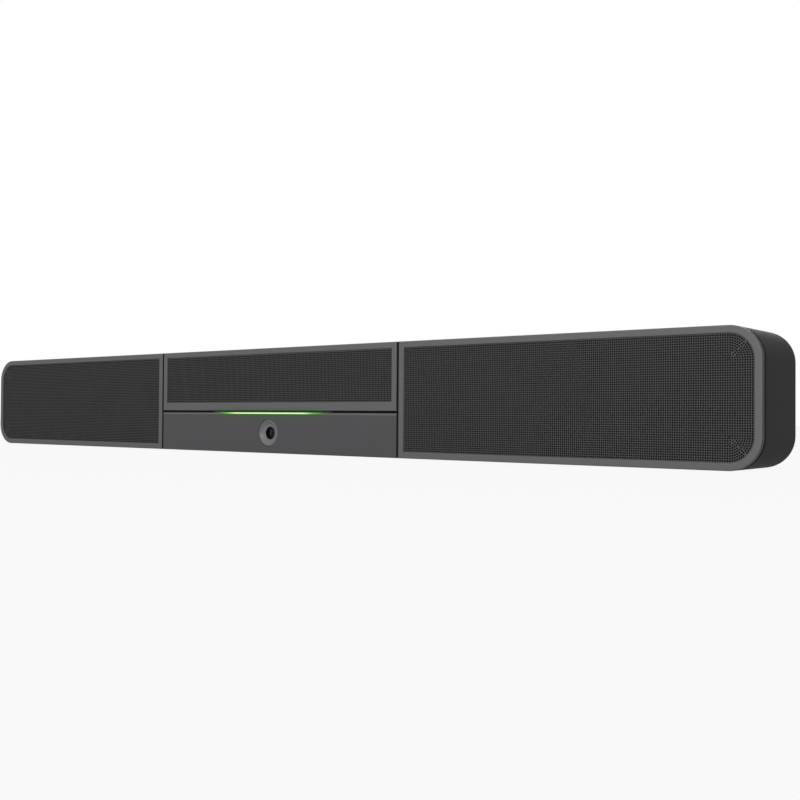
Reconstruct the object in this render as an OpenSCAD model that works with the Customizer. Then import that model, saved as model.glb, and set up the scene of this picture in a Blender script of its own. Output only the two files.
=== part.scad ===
// Wall-mounted conference bar: two loudspeaker ends and a centre module with
// microphones, a status light and a tilting wide-angle camera.
// X runs along the bar, -Y is the front, +Z is up. The origin lies under the
// middle of the bar, on the surface that it stands on.

/* [Bar] */
// Height of the bar
bar_h = 110; // [106:1:118]
// Depth of the bar from its front to the wall
bar_d = 80; // [78:1:96]
// Width of each of the three front modules
module_w = 342; // [338:1:370]
// Dark gap between neighbouring modules
seam_w = 2.5; // [1.5:0.1:4]
// Radius of the corners at the two ends of the bar
corner_r = 26; // [22:0.5:30]

/* [Front frames] */
// Depth of the front frames
bezel_d = 6; // [5.5:0.1:7]
// Width of the frame round each loudspeaker grille
border_w = 6; // [5:0.25:8]
// Rounding of the frame's outer front edge
edge_r = 1.6; // [0.8:0.1:2]
// Thickness of the lip that holds the grille from in front
lip_t = 1.2; // [0.8:0.1:1.6]
// Overlap of the lip over the grille
lip_w = 1.5; // [1.2:0.1:1.8]
// Width of the strip below the centre grille
sill_w = 8.5; // [7:0.25:11]
// Width of the locating tabs behind the frames
tab_w = 12; // [8:0.5:16]
// Thickness of the locating tabs
tab_t = 1.2; // [1:0.1:1.3]

/* [Grilles] */
// Thickness of the grille sheet
sheet_t = 0.8; // [0.5:0.1:1.2]
// Thickness of the dark cloth behind the grille
cloth_t = 0.4; // [0.2:0.1:0.6]
// Distance between neighbouring holes
hole_pitch = 10.6; // [9:0.1:13]
// Side of a square hole
hole_w = 7.4; // [4:0.1:8]

/* [Camera panel] */
// Height of the panel that carries the camera
fascia_h = 42.5; // [41:0.25:46]
// Thickness of the panel's front
fascia_t = 2.5; // [2:0.1:3]
// Slot between the panel and the centre frame
light_slot = 1.8; // [1.2:0.1:2.6]
// Length of the status light
light_l = 170; // [120:1:240]
// Length of the light's full-height middle
light_core_l = 118; // [60:1:118]

/* [Camera] */
// Height of the lens axis
lens_z = 21; // [20.8:0.1:22]
// Radius of the ball that carries the lens
ball_r = 15.2; // [14.8:0.1:15.6]
// Radius of the ball's round front
eye_r = 13.2; // [12:0.1:13.6]
// Depth of the dish in the ball's front
dish_d = 3.4; // [2.5:0.1:4.5]
// Radius of the dish where it meets the lens barrel
barrel_r = 6.8; // [6:0.1:7.4]
// Radius of the front lens
lens_r = 4.6; // [3.5:0.1:5]
// Gap between the ball and the panel
eye_gap = 0.5; // [0.4:0.05:0.7]
// Radius of the tilt pins
pin_r = 2; // [1.5:0.1:2.5]

/* [Housings] */
// Wall of the moulded housings
wall = 3.5; // [3:0.1:4.5]
// Thickness of the housings' back wall
back_wall = 6; // [5:0.25:8]
// Height of the shadow groove behind the front frames
groove_w = 2.5; // [1.5:0.1:4]
// Inward step of the shadow groove
groove_in = 1.8; // [1.2:0.1:2]
// Rounding of the rear edges
rear_r = 4; // [2:0.25:6]
// Hairline joint between neighbouring housings
joint_gap = 0.4; // [0.2:0.1:0.8]
// Radius of the screw bosses
boss_r = 4.5; // [4:0.1:5]

/* [Loudspeakers] */
// Distance of each woofer from the middle of its module
woofer_dx = 90; // [84:1:94]
// Radius of the woofer's mounting flange
woofer_r = 40; // [38:0.5:41]
// Radius of the cone at its outer edge
cone_r = 26; // [24:0.5:26]
// Radius of the voice coil former
coil_r = 10.3; // [9.6:0.1:10.8]
// Radius of the woofer magnet
magnet_r = 28; // [24:0.5:30]
// Thickness of the woofer magnet
magnet_t = 12; // [8:0.5:14]
// Largest excursion of a cone each way
cone_travel = 3; // [1:0.25:3]
// Radius of the tweeter's face plate
tweeter_r = 22; // [19:0.5:24]
// Radius of the tweeter's dome
dome_r = 10; // [8:0.5:12]
// Outer radius of the bass port
port_r = 12; // [9:0.5:13]
// Length of the bass port
port_l = 46; // [30:1:52]

/* [Wall mounting] */
// Length of the steel mounting plate
plate_l = 900; // [880:10:960]
// Height of the mounting plate
plate_h = 38; // [34:1:42]
// Thickness of the mounting plate
plate_t = 2; // [1.5:0.1:2.5]
// Distance between the threaded inserts along the bar
insert_dx = 300; // [200:5:310]
// Distance between the threaded inserts up the bar
insert_dz = 24; // [16:1:26]
// Radius of the inserts' threaded hole
insert_r = 2.5; // [2:0.1:3]
// Length of the inserts
insert_l = 12; // [10:0.5:14]

/* [Connector bay] */
// Width of the bay in the back
bay_w = 190; // [170:1:220]
// Distance from the bar's top down to the bay's roof
roof_down = 58; // [57:0.5:60]
// Depth of the bay
bay_d = 22; // [18:0.5:24]
// Width of the notch where the cables leave downward
exit_w = 90; // [60:1:120]
// Thickness of the connector plate
conn_t = 1.2; // [0.8:0.1:1.6]
// Radius of the two push buttons
button_r = 2.4; // [2:0.1:2.8]
// Travel of the push buttons
button_travel = 1; // [0.5:0.1:1.2]

/* [Hidden] */
$fn = 64;
cut = 1;             // overrun of every cutting tool
lap = 0.01;          // overlap of shapes that are fused
slip = 0.1;          // radial gap of a pin or screw in its hole
fit = 0.2;           // gap round a piece that drops into its seat
run = 0.05;          // running gap of a hinge pin

front_y = -bar_d / 2;
bar_l = 3 * module_w + 2 * seam_w;
end_x = bar_l / 2;                       // outer end of the bar
pod_x = module_w / 2 + seam_w;           // inner end of a loudspeaker frame
joint_x = module_w / 2 + seam_w / 2;     // plane between two housings
pod_mid = pod_x + module_w / 2;
pod_in_x = joint_x + joint_gap / 2;
mid_z = bar_h / 2;
rim_d = bezel_d + groove_w;              // where the housings begin
grille_d = lip_t;
cloth_d = grille_d + sheet_t;
tray_inset = border_w - lip_w;           // outline of the grille tray
sill_z = fascia_h + light_slot;          // underside of the centre frame

// Screws with a round head
screw_r = 1.5;
screw_head_r = 2.8;
screw_head_h = 2;
screw_l = 12;
pilot_r = screw_r + run;
screw_grip = 11;                         // thread that a boss holds
boss_sink = 1;
boss_z = wall + boss_r - boss_sink;      // bosses stand in the wall
carrier_pilot = 4;
carrier_grip = 3.6;
rim_edge = 0.6;                          // rounding behind the shadow groove

// Locating tabs stand in slots in the baffles
tab_in = tray_inset - fit - tab_t - slip;
tab_l = groove_w - 2 * fit;
tab_slack = 0.1;

// Baffles and carrier
plug_inset = wall + fit;
baffle_back = 17;
roll_r = 3;                              // half roll of the woofer surround
skin_t = 0.6;
woofer_flange_t = 3;
woofer_seat_t = 3.8;                     // baffle left behind the woofer's flange
woofer_seat = baffle_back - woofer_seat_t;
flange_land = 6.5;                       // baffle under the woofer's flange
woofer_hole_r = woofer_r - flange_land;
screw_edge = 3;                          // a driver screw's distance from the flange's edge
woofer_screw_r = woofer_r - screw_edge;
driver_screw_head_r = 2.2;
driver_grip = 3.6;
tweeter_flange_t = 3;
tweeter_set = 1;                         // face plate's depth in the baffle
tweeter_seat = bezel_d + tweeter_set + tweeter_flange_t;
tweeter_land = 5;
tweeter_hole_r = tweeter_r - tweeter_land;
tweeter_grip = 5;
port_gap = 7;
port_x = pod_in_x + wall + fit + port_gap + port_r;
carrier_back = 13;

// Woofer, measured from its seat, with the front positive
pole_gap = 0.8;                          // from the coil's outside to the pole
plate_gap = 0.7;                         // from the coil's outside to the top plate
pole_r = coil_r - pole_gap;
gap_r = coil_r + plate_gap;
coil_t = 0.4;
top_plate_z = -29;
top_plate_t = 4;
magnet_z = top_plate_z - magnet_t;
back_plate_t = 4;
plate_in = 3;                            // plates' step in from the magnet
coil_room = 2;
vent_r = 3.2;                            // vent through the pole
basket_z = top_plate_z + top_plate_t;
basket_t = 3;
ledge_z = -14;                           // ledge that holds the spider
ledge_r = 25;
ledge_w = 1.6;
basket_wall = 3;
glue_w = 1.5;                            // flat lip where the surround is glued
flange_w = 8.5;                          // width of the woofer's flange
surround_in = woofer_r - flange_w;
cone_neck_z = -12;
cone_t = 0.8;
coil_over = cone_travel;                 // coil's reach past the top plate
cap_over = 3;                            // dust cap's reach past the coil
cap_h = 3;
lip_z = woofer_flange_t;
roll_mid = (cone_r + surround_in) / 2;
terminal_w = 10;
terminal_t = 3;
terminal_l = 8;
leg_gap = 22;
leg_foot = 1.6;

// Camera ball
ball_d = sqrt(ball_r * ball_r - eye_r * eye_r);   // depth of the ball's centre
head_back = 10;                          // flat back of the ball, behind its centre
barrel_l = 16;
cradle_t = 3;
cheek_gap = 0.6;
cheek_x = ball_r + cheek_gap;
cheek_t = 3.4;
cheek_h = 14;
cheek_front = 4;
foot_l = 12;
cradle_screw_x = cheek_x + cheek_t + foot_l / 2;
cradle_screw_xs = [-cradle_screw_x, cradle_screw_x];
pin_clear = 1;
pin_x0 = barrel_r + pin_clear;
pin_x1 = cheek_x + cheek_t + fit;
light_set = 1;                           // light's depth in its slot

// Boards
board_t = 1.6;
main_d = 44;                             // front face of the main board
main_side = 26;                          // room beside the main board
main_w = module_w - 2 * main_side;
main_room = 13;                          // room above and below the main board
main_h = bar_h - 2 * main_room;
socket_out = 1;                          // sockets stand proud of the plate
bay_front = bar_d - bay_d;
bay_h = bar_h - roof_down;               // the bay's roof above the bar's underside
conn_rise = 0.25;
conn_z = (wall + bay_h) / 2 + conn_rise; // the connectors' common axis
bay_wall = 2.5;
mount_down = 35;                         // from the bar's top to the middle of its mounting plate
mount_z = bar_h - mount_down;
mount_screw_dz = insert_dz;
centre_screw_x = 60;                     // mounting screws of the centre module
pod_screw_in = 37;                       // mounting screws of a loudspeaker module, from its inner end
plate_end = 30;                          // outermost screws, from the end of the mounting plate
mount_screw_xs = [centre_screw_x, pod_in_x + pod_screw_in, plate_l / 2 - plate_end];
lead_d = 30;
lead_r = 1.6;
grommet_r = 4;
lead_z = bar_h - boss_z - boss_r - grommet_r - 2 * fit;
lead_plug_in = 24;                       // loudspeaker plugs, from the ends of the main board
lead_x = main_w / 2 - lead_plug_in;

WOOFER_X = [-pod_mid - woofer_dx, -pod_mid + woofer_dx, pod_mid - woofer_dx, pod_mid + woofer_dx];

// Shared shapes

// A flat outline, drawn with X across and Y up, as a slab from depth d0 to d1 behind the front
module slab(d0, d1) {
    translate([0, front_y + d1, 0]) rotate([90, 0, 0]) linear_extrude(d1 - d0) children();
}

// Children drawn along Z are turned to look forward, with their zero at depth d
module facing(x, d, z) {
    translate([x, front_y + d, z]) rotate([90, 0, 0]) children();
}

module quarter(r) {
    intersection() {
        circle(r);
        square(r);
    }
}

module box_outline(x0, x1, z0, z1) {
    translate([x0, z0]) square([x1 - x0, z1 - z0]);
}

// A rectangle whose two outer corners are rounded
module end_outline(x0, x1, z0, z1, r) {
    box_outline(x0, x1 - r, z0, z1);
    box_outline(x1 - r, x1, z0 + r, z1 - r);
    translate([x1 - r, z1 - r]) quarter(r);
    translate([x1 - r, z0 + r]) mirror([0, 1]) quarter(r);
}

// A rectangle with four rounded corners
module round_outline(x0, x1, z0, z1, r) {
    end_outline(x0 + r, x1, z0, z1, r);
    box_outline(x0, x0 + r, z0 + r, z1 - r);
    translate([x0 + r, z1 - r]) mirror([1, 0]) quarter(r);
    translate([x0 + r, z0 + r]) rotate(180) quarter(r);
}

// The outline of a right-hand loudspeaker module, drawn in by inset
module pod_outline(inset, x0 = pod_x) {
    end_outline(x0 + inset, end_x - inset, inset, bar_h - inset, corner_r - inset);
}

// Section from the middle of a block out to its edge, with depth as Y and the
// front and rear corners of the edge rounded
module edge_profile(reach, d0, d1, front_r, back_r) {
    box_outline(0, reach, d0 + front_r, d1 - back_r);
    box_outline(0, reach - front_r, d0, d0 + front_r);
    translate([reach - front_r, d0 + front_r]) mirror([0, 1]) quarter(front_r);
    if (back_r > 0) {
        box_outline(0, reach - back_r, d1 - back_r, d1);
        translate([reach - back_r, d1 - back_r]) quarter(back_r);
    }
}

// The section on both sides of mid-height, run along X
module soft_bar(x0, x1, z0, z1, d0, d1, front_r, back_r = 0) {
    half = (z1 - z0) / 2;
    translate([x1, front_y, z0 + half]) rotate([0, -90, 0]) linear_extrude(x1 - x0) {
        edge_profile(half, d0, d1, front_r, back_r);
        mirror([1, 0]) edge_profile(half, d0, d1, front_r, back_r);
    }
}

// A loudspeaker block: a run along X, an upright end and two turned corners
module soft_pod(x0, d0, d1, front_r, back_r = 0) {
    xc = end_x - corner_r;
    soft_bar(x0, xc, 0, bar_h, d0, d1, front_r, back_r);
    translate([xc, front_y, corner_r]) linear_extrude(bar_h - 2 * corner_r)
        edge_profile(corner_r, d0, d1, front_r, back_r);
    for (up = [0, 1])
        translate([xc, front_y, up * bar_h + (1 - 2 * up) * corner_r]) mirror([0, 0, up])
            rotate([-90, 0, 0]) rotate_extrude(angle = 90)
                edge_profile(corner_r, d0, d1, front_r, back_r);
}

module left() {
    mirror([1, 0, 0]) children();
}

// Radius of the ball that a cap of radius r and height h is cut from
function cap_ball_r(r, h) = (r * r + h * h) / (2 * h);

module rod(r, d0, d1, x, z) {
    facing(x, d1, z) cylinder(r = r, h = d1 - d0);
}

// Round-headed screw: the head's seat is at depth d, the shank runs backward
module screw(x, d, z, l = screw_l, head_r = screw_head_r) {
    rod(screw_r, d - lap, d + l, x, z);
    rod(head_r, d - screw_head_h, d, x, z);
}

// Housings

module plate_outline(grow) {
    round_outline(-plate_l / 2 - grow, plate_l / 2 + grow, mount_z - plate_h / 2 - grow,
        mount_z + plate_h / 2 + grow, plate_corner_r);
}

insert_wall = 2;
insert_body_r = insert_r + insert_wall;
mount_boss_l = 8;
mount_boss_d = bar_d - back_wall - mount_boss_l;
plate_corner_r = 5;

pod_boss_xs = [pod_in_x + boss_z, pod_mid, end_x - corner_r];

module pod_bosses() {
    for (x = pod_boss_xs, z = [boss_z, bar_h - boss_z])
        rod(boss_r, baffle_back, bar_d - back_wall + lap, x, z);
    for (x = [mount_screw_xs[1], mount_screw_xs[2]], dz = [-1, 1])
        rod(boss_r, mount_boss_d, bar_d - back_wall + lap, x, mount_z + dz * mount_screw_dz / 2);
}

rib_t = 2;
rib_h = 7;

module pod_ribs() {
    for (x = [pod_mid - woofer_dx / 2, pod_mid, pod_mid + woofer_dx / 2])
        slab(bar_d - back_wall - rib_h, bar_d - back_wall + lap)
            box_outline(x - rib_t / 2, x + rib_t / 2, wall - lap, bar_h - wall + lap);
}

module pod_housing() {
    color([0.2, 0.2, 0.21]) difference() {
        union() {
            difference() {
                soft_pod(pod_in_x, rim_d, bar_d, rim_edge, rear_r);
                slab(rim_d - cut, bar_d - back_wall) pod_outline(wall, pod_in_x);
            }
            pod_bosses();
            pod_ribs();
        }
        slab(bar_d - plate_t, bar_d + cut) plate_outline(fit);
        for (x = pod_boss_xs, z = [boss_z, bar_h - boss_z])
            rod(pilot_r, baffle_back - cut, baffle_back + screw_l, x, z);
        for (x = [mount_screw_xs[1], mount_screw_xs[2]], dz = [-1, 1])
            rod(pilot_r, mount_boss_d - cut, bar_d, x, mount_z + dz * mount_screw_dz / 2);
        lead_hole();
    }
}

// The way through the touching end walls for the loudspeaker lead
module lead_hole() {
    translate([pod_in_x - wall - joint_gap - cut, front_y + lead_d, lead_z]) rotate([0, 90, 0])
        cylinder(r = grommet_r + slip, h = 2 * wall + joint_gap + 2 * cut);
}

module right_housing() pod_housing();
module left_housing() left() pod_housing();

centre_half = joint_x - joint_gap / 2;
centre_boss_xs = [centre_half - boss_z, centre_half / 2];
board_boss_r = 4;
board_screw_in = 5;
board_inner_x = 70;
main_z0 = mid_z - main_h / 2;
board_screw_xs = [main_w / 2 - board_screw_in, board_inner_x];
board_screw_zs = [main_z0 + board_screw_in, main_z0 + main_h - board_screw_in];
window_in_x = 8;
window_in_z = 6;
exit_lip = 6;
insert_boss_wall = 2;
insert_boss_r = insert_body_r + insert_boss_wall;
vent_w = 2;
vent_l = 14;
vent_count = 14;
vent_pitch = 8;

module centre_bosses() {
    for (x = centre_boss_xs, side = [-1, 1], z = [boss_z, bar_h - boss_z])
        rod(boss_r, carrier_back, bar_d - back_wall + lap, side * x, z);
    for (side = [-1, 1], dz = [-1, 1])
        rod(boss_r, mount_boss_d, bar_d - back_wall + lap, side * mount_screw_xs[0],
            mount_z + dz * mount_screw_dz / 2);
    for (x = board_screw_xs, side = [-1, 1])
        rod(board_boss_r, main_d + board_t, bar_d - back_wall + lap, side * x, board_screw_zs[1]);
    for (side = [-1, 1])
        rod(board_boss_r, main_d + board_t, bar_d - back_wall + lap, side * board_screw_xs[0],
            board_screw_zs[0]);
}

module centre_housing() {
    color([0.2, 0.2, 0.21]) difference() {
        union() {
            difference() {
                soft_bar(-centre_half, centre_half, 0, bar_h, rim_d, bar_d, rim_edge, rear_r);
                slab(rim_d - cut, bar_d - back_wall)
                    box_outline(-centre_half + wall, centre_half - wall, wall, bar_h - wall);
            }
            centre_bosses();
            insert_places() rod(insert_boss_r, bar_d - insert_l, bar_d - back_wall + lap, 0, 0);
            // Walls of the connector bay
            slab(bay_front - bay_wall, bar_d - back_wall + lap)
                box_outline(-bay_w / 2 - bay_wall, bay_w / 2 + bay_wall, wall - lap, bay_h + bay_wall);
        }
        // Connector bay, its window and the way out for the cables
        slab(bay_front, bar_d + cut) box_outline(-bay_w / 2, bay_w / 2, wall, bay_h);
        slab(bay_front - bay_wall - cut, bay_front + cut)
            box_outline(-bay_w / 2 + window_in_x, bay_w / 2 - window_in_x, wall + window_in_z,
                bay_h - window_in_z);
        slab(bay_front + exit_lip, bar_d + cut) box_outline(-exit_w / 2, exit_w / 2, -cut, wall + cut);
        slab(bar_d - plate_t, bar_d + cut) plate_outline(fit);
        for (x = centre_boss_xs, side = [-1, 1], z = [boss_z, bar_h - boss_z])
            rod(pilot_r, carrier_back - cut, carrier_back + screw_l, side * x, z);
        for (side = [-1, 1], dz = [-1, 1])
            rod(pilot_r, mount_boss_d - cut, bar_d, side * mount_screw_xs[0],
                mount_z + dz * mount_screw_dz / 2);
        insert_places() rod(insert_body_r, bar_d - insert_l - cut, bar_d + cut, 0, 0);
        for (x = board_screw_xs, side = [-1, 1])
            rod(pilot_r, main_d, main_d + board_t + screw_l, side * x, board_screw_zs[1]);
        for (side = [-1, 1])
            rod(pilot_r, main_d, main_d + board_t + screw_l, side * board_screw_xs[0], board_screw_zs[0]);
        for (x = conn_screw_xs, z = conn_screw_zs)
            rod(pilot_r, bay_front - bay_wall - cut, bay_front + cut, x, z);
        // Vents through the roof, over the heat sink
        for (i = [0:vent_count - 1])
            translate([(i - (vent_count - 1) / 2) * vent_pitch - vent_w / 2,
                front_y + bay_front - vent_l, bar_h - wall - cut])
                cube([vent_w, vent_l, wall + 2 * cut]);
        lead_hole();
        left() lead_hole();
    }
}

// Wall mounting

csk_r = 3.8;
csk_h = plate_t - fit;

module insert_places() {
    for (side = [-1, 1], dz = [-1, 1])
        translate([side * insert_dx / 2, 0, mount_z + dz * insert_dz / 2]) children();
}

module mounting_plate() {
    color([0.12, 0.12, 0.13]) difference() {
        slab(bar_d - plate_t, bar_d) plate_outline(0);
        for (x = mount_screw_xs, side = [-1, 1], dz = [-1, 1]) {
            z = mount_z + dz * mount_screw_dz / 2;
            rod(screw_r + slip, bar_d - plate_t - cut, bar_d + cut, side * x, z);
            facing(side * x, bar_d + lap, z)
                cylinder(r1 = csk_r + slip, r2 = screw_r + slip, h = csk_h + lap);
        }
        insert_places() rod(insert_body_r + slip, bar_d - plate_t - cut, bar_d + cut, 0, 0);
    }
}

module mounting_screws() {
    color([0.55, 0.55, 0.57])
        for (x = mount_screw_xs, side = [-1, 1], dz = [-1, 1]) {
            z = mount_z + dz * mount_screw_dz / 2;
            rod(screw_r, bar_d - screw_l, bar_d - csk_h + lap, side * x, z);
            facing(side * x, bar_d, z) cylinder(r1 = csk_r, r2 = screw_r, h = csk_h);
        }
}

module threaded_inserts() {
    color([0.75, 0.62, 0.32])
        insert_places() difference() {
            rod(insert_body_r, bar_d - insert_l, bar_d, 0, 0);
            rod(insert_r, bar_d - insert_l - cut, bar_d + cut, 0, 0);
        }
}

// Front frames

// Tabs along a frame's edge at height z, or the slots that take them
module tabs(xs, z, grow = 0) {
    for (x = xs)
        slab(bezel_d - tab_t, bezel_d + tab_l + grow)
            box_outline(x - tab_w / 2 - grow, x + tab_w / 2 + grow, z - grow, z + tab_t + grow);
}

tab_top = bar_h - tab_in - tab_t;
tab_share = 0.33;                        // tabs' place along half a module
pod_tab_xs = [for (side = [-1, 1], n = [1, 2]) pod_mid + side * n * tab_share * module_w / 2];
centre_tab_xs = [for (side = [-1, 1], n = [1, 2]) side * n * tab_share * module_w / 2];

module pod_tabs(grow = 0) {
    for (z = [tab_in, tab_top]) tabs(pod_tab_xs, z, grow);
}

module pod_bezel() {
    color([0.42, 0.42, 0.43]) {
        difference() {
            soft_pod(pod_x, 0, bezel_d, edge_r);
            slab(-cut, bezel_d + cut) pod_outline(border_w);
            slab(grille_d, bezel_d + cut) pod_outline(tray_inset - fit);
        }
        pod_tabs();
    }
}

module right_bezel() pod_bezel();
module left_bezel() left() pod_bezel();

centre_x = module_w / 2;

module centre_bezel() {
    color([0.42, 0.42, 0.43]) {
        difference() {
            soft_bar(-centre_x, centre_x, sill_z, bar_h, 0, bezel_d, edge_r);
            slab(-cut, bezel_d + cut)
                box_outline(-centre_x + border_w, centre_x - border_w, sill_z + sill_w, bar_h - border_w);
            slab(grille_d, bezel_d + cut) centre_tray(fit);
        }
        for (z = [sill_z + tab_in, tab_top]) tabs(centre_tab_xs, z);
    }
}

module centre_tray(grow) {
    box_outline(-centre_x + tray_inset - grow, centre_x - tray_inset + grow,
        sill_z + sill_w - lip_w - grow, bar_h - tray_inset + grow);
}

// Grilles

// Places of the holes along a length, spread evenly about its middle
function hole_places(a, b) =
    let (n = floor((b - a - hole_w) / hole_pitch), first = (a + b - n * hole_pitch) / 2)
    [for (i = [0:n]) first + i * hole_pitch];

module square_hole(x, z, turn = 0) {
    translate([x, z]) rotate(turn) square(hole_w, center = true);
}

// Straight rows of holes, and rings of holes round the centre of each rounded corner
module pod_holes() {
    x0 = pod_x + border_w;
    xc = end_x - corner_r;
    z0 = border_w;
    z1 = bar_h - border_w;
    for (x = hole_places(x0, xc), z = hole_places(z0, z1)) square_hole(x, z);
    for (x = ring_radii(), z = hole_places(corner_r, bar_h - corner_r)) square_hole(xc + x, z);
    for (i = [0:len(ring_radii()) - 1], up = [-1, 1]) {
        r = ring_radii()[i];
        for (j = [0:i]) {
            a = 90 * (j + 0.5) / (i + 1);
            square_hole(xc + r * cos(a), mid_z + up * (mid_z - corner_r + r * sin(a)), up * a);
        }
    }
}

hole_edge = 1;                           // sheet left between the outer ring and the frame

function ring_radii() =
    let (outer = corner_r - border_w - hole_w / 2 - hole_edge)
    [for (r = [outer - hole_pitch:hole_pitch:outer + lap]) r];

module pod_grille() {
    color([0.16, 0.16, 0.16]) {
        slab(grille_d, cloth_d) difference() {
            pod_outline(tray_inset);
            pod_holes();
        }
        slab(cloth_d - lap, bezel_d) difference() {
            pod_outline(tray_inset);
            pod_outline(tray_inset + sheet_t);
        }
    }
}

module right_grille() pod_grille();
module left_grille() left() pod_grille();

module centre_grille() {
    x1 = centre_x - border_w;
    color([0.16, 0.16, 0.16]) {
        slab(grille_d, cloth_d) difference() {
            centre_tray(0);
            for (x = hole_places(-x1, x1), z = hole_places(sill_z + sill_w, bar_h - border_w))
                square_hole(x, z);
        }
        slab(cloth_d - lap, bezel_d) difference() {
            centre_tray(0);
            centre_tray(-sheet_t);
        }
    }
}

module grille_cloths() {
    color([0.03, 0.03, 0.03]) slab(cloth_d, cloth_d + cloth_t) {
        pod_outline(tray_inset + sheet_t + fit);
        mirror([1, 0]) pod_outline(tray_inset + sheet_t + fit);
        centre_tray(-sheet_t - fit);
    }
}

// Baffles and carrier behind the frames

module pod_baffle() {
    color([0.07, 0.07, 0.07]) difference() {
        union() {
            // Flange that forms the floor of the shadow groove, and the plug in the housing
            slab(bezel_d, rim_d) pod_outline(groove_in, pod_in_x - groove_in + fit);
            slab(rim_d - lap, baffle_back) pod_outline(plug_inset, pod_in_x);
        }
        for (x = [pod_mid - woofer_dx, pod_mid + woofer_dx]) {
            rod(woofer_r + fit, bezel_d - cut, woofer_seat, x, mid_z);
            rod(woofer_hole_r, bezel_d, baffle_back + cut, x, mid_z);
            for (a = [45:90:315])
                rod(pilot_r, woofer_seat - cut, baffle_back + cut, x + woofer_screw_r * cos(a),
                    mid_z + woofer_screw_r * sin(a));
        }
        rod(tweeter_r + fit, bezel_d - cut, tweeter_seat, pod_mid, mid_z);
        rod(tweeter_hole_r, bezel_d, baffle_back + cut, pod_mid, mid_z);
        for (a = [0:90:270])
            rod(pilot_r, tweeter_seat - cut, tweeter_seat + tweeter_grip + fit,
                pod_mid + tweeter_screw_r * cos(a), mid_z + tweeter_screw_r * sin(a));
        rod(port_r + slip, bezel_d - cut, baffle_back + cut, port_x, mid_z);
        pod_tabs(tab_slack);
        for (x = pod_boss_xs, z = [boss_z, bar_h - boss_z]) {
            rod(screw_r + slip, bezel_d - cut, baffle_back + cut, x, z);
            rod(screw_head_r + slip, bezel_d - cut, rim_d, x, z);
        }
    }
}

module right_baffle() pod_baffle();
module left_baffle() left() pod_baffle();

module centre_carrier() {
    color([0.07, 0.07, 0.07]) difference() {
        union() {
            slab(bezel_d, rim_d)
                box_outline(-centre_half + joint_gap, centre_half - joint_gap, groove_in, bar_h - groove_in);
            slab(rim_d - lap, carrier_back)
                box_outline(-centre_half + plug_inset, centre_half - plug_inset, plug_inset,
                    bar_h - plug_inset);
        }
        // Windows for the microphones, the light and the camera
        slab(bezel_d - cut, carrier_back + cut) {
            box_outline(-mic_w / 2 + mic_rim, mic_w / 2 - mic_rim, mic_z - mic_h / 2 + mic_rim,
                mic_z + mic_h / 2 - mic_rim);
            box_outline(-light_l / 2 - fit, light_l / 2 + fit, fascia_h - fit, sill_z + fit);
            box_outline(-cheek_x - cheek_t - fit, cheek_x + cheek_t + fit, lens_z - ball_r - eye_gap,
                lens_z + ball_r + eye_gap);
        }
        for (z = [tab_in, fascia_h - tab_in - tab_t, sill_z + tab_in, tab_top])
            tabs(centre_tab_xs, z, tab_slack);
        for (x = centre_boss_xs, side = [-1, 1], z = [boss_z, bar_h - boss_z]) {
            rod(screw_r + slip, bezel_d - cut, carrier_back + cut, side * x, z);
            rod(screw_head_r + slip, bezel_d - cut, rim_d, side * x, z);
        }
        for (x = cradle_screw_xs)
            rod(pilot_r, carrier_back - carrier_pilot, carrier_back + cut, x, lens_z);
        for (x = mic_screw_xs, z = mic_screw_zs)
            rod(pilot_r, carrier_back - carrier_pilot, carrier_back + cut, x, z);
    }
}

module baffle_screws() {
    color([0.3, 0.3, 0.31]) {
        for (x = pod_boss_xs, side = [-1, 1], z = [boss_z, bar_h - boss_z])
            screw(side * x, rim_d, z, baffle_back - rim_d + screw_grip);
        for (x = centre_boss_xs, side = [-1, 1], z = [boss_z, bar_h - boss_z])
            screw(side * x, rim_d, z, carrier_back - rim_d + screw_grip);
    }
}

// Camera panel and status light

fascia_edge = 1;
fascia_rim = tab_in + tab_t + fit;

module camera_fascia() {
    color([0.32, 0.32, 0.33]) {
        difference() {
            soft_bar(-centre_x, centre_x, 0, fascia_h, 0, bezel_d, fascia_edge);
            slab(fascia_t, bezel_d + cut)
                box_outline(-centre_x + fascia_rim, centre_x - fascia_rim, fascia_rim,
                    fascia_h - fascia_rim);
            // Round seat for the ball
            facing(0, ball_d, lens_z) sphere(r = ball_r + eye_gap);
        }
        for (z = [tab_in, fascia_h - tab_in - tab_t]) tabs(centre_tab_xs, z);
    }
}

// A strip of clear plastic with pointed ends
module light_guide() {
    z0 = fascia_h + fit;
    z1 = sill_z - fit;
    zm = (z0 + z1) / 2;
    color([0.55, 0.95, 0.35]) slab(light_set, carrier_back)
        polygon([[-light_l / 2, zm], [-light_core_l / 2, z1], [light_core_l / 2, z1], [light_l / 2, zm],
            [light_core_l / 2, z0], [-light_core_l / 2, z0]]);
}

led_count = 12;
led_w = 3;
led_h = 1.2;
led_t = 0.7;
light_board_h = 8;
light_foot_in = 4;
light_foot_w = 6;

module light_board() {
    zm = fascia_h + light_slot / 2;
    color([0.1, 0.25, 0.14]) {
        slab(carrier_back + led_t, carrier_back + led_t + board_t)
            box_outline(-light_l / 2, light_l / 2, zm - light_board_h / 2, zm + light_board_h / 2);
        for (i = [0:led_count - 1]) {
            x = (i - (led_count - 1) / 2) * light_core_l / led_count;
            slab(carrier_back + fit / 2, carrier_back + led_t + lap)
                box_outline(x - led_w / 2, x + led_w / 2, zm - led_h / 2, zm + led_h / 2);
        }
        // Feet that stand on the carrier
        for (side = [-1, 1]) {
            x = side * (light_l / 2 - light_foot_in);
            slab(carrier_back, carrier_back + led_t + lap)
                box_outline(x - light_foot_w / 2, x + light_foot_w / 2, zm + led_h, zm + light_board_h / 2);
        }
    }
}

// Camera head, which tilts about the pins

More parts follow.
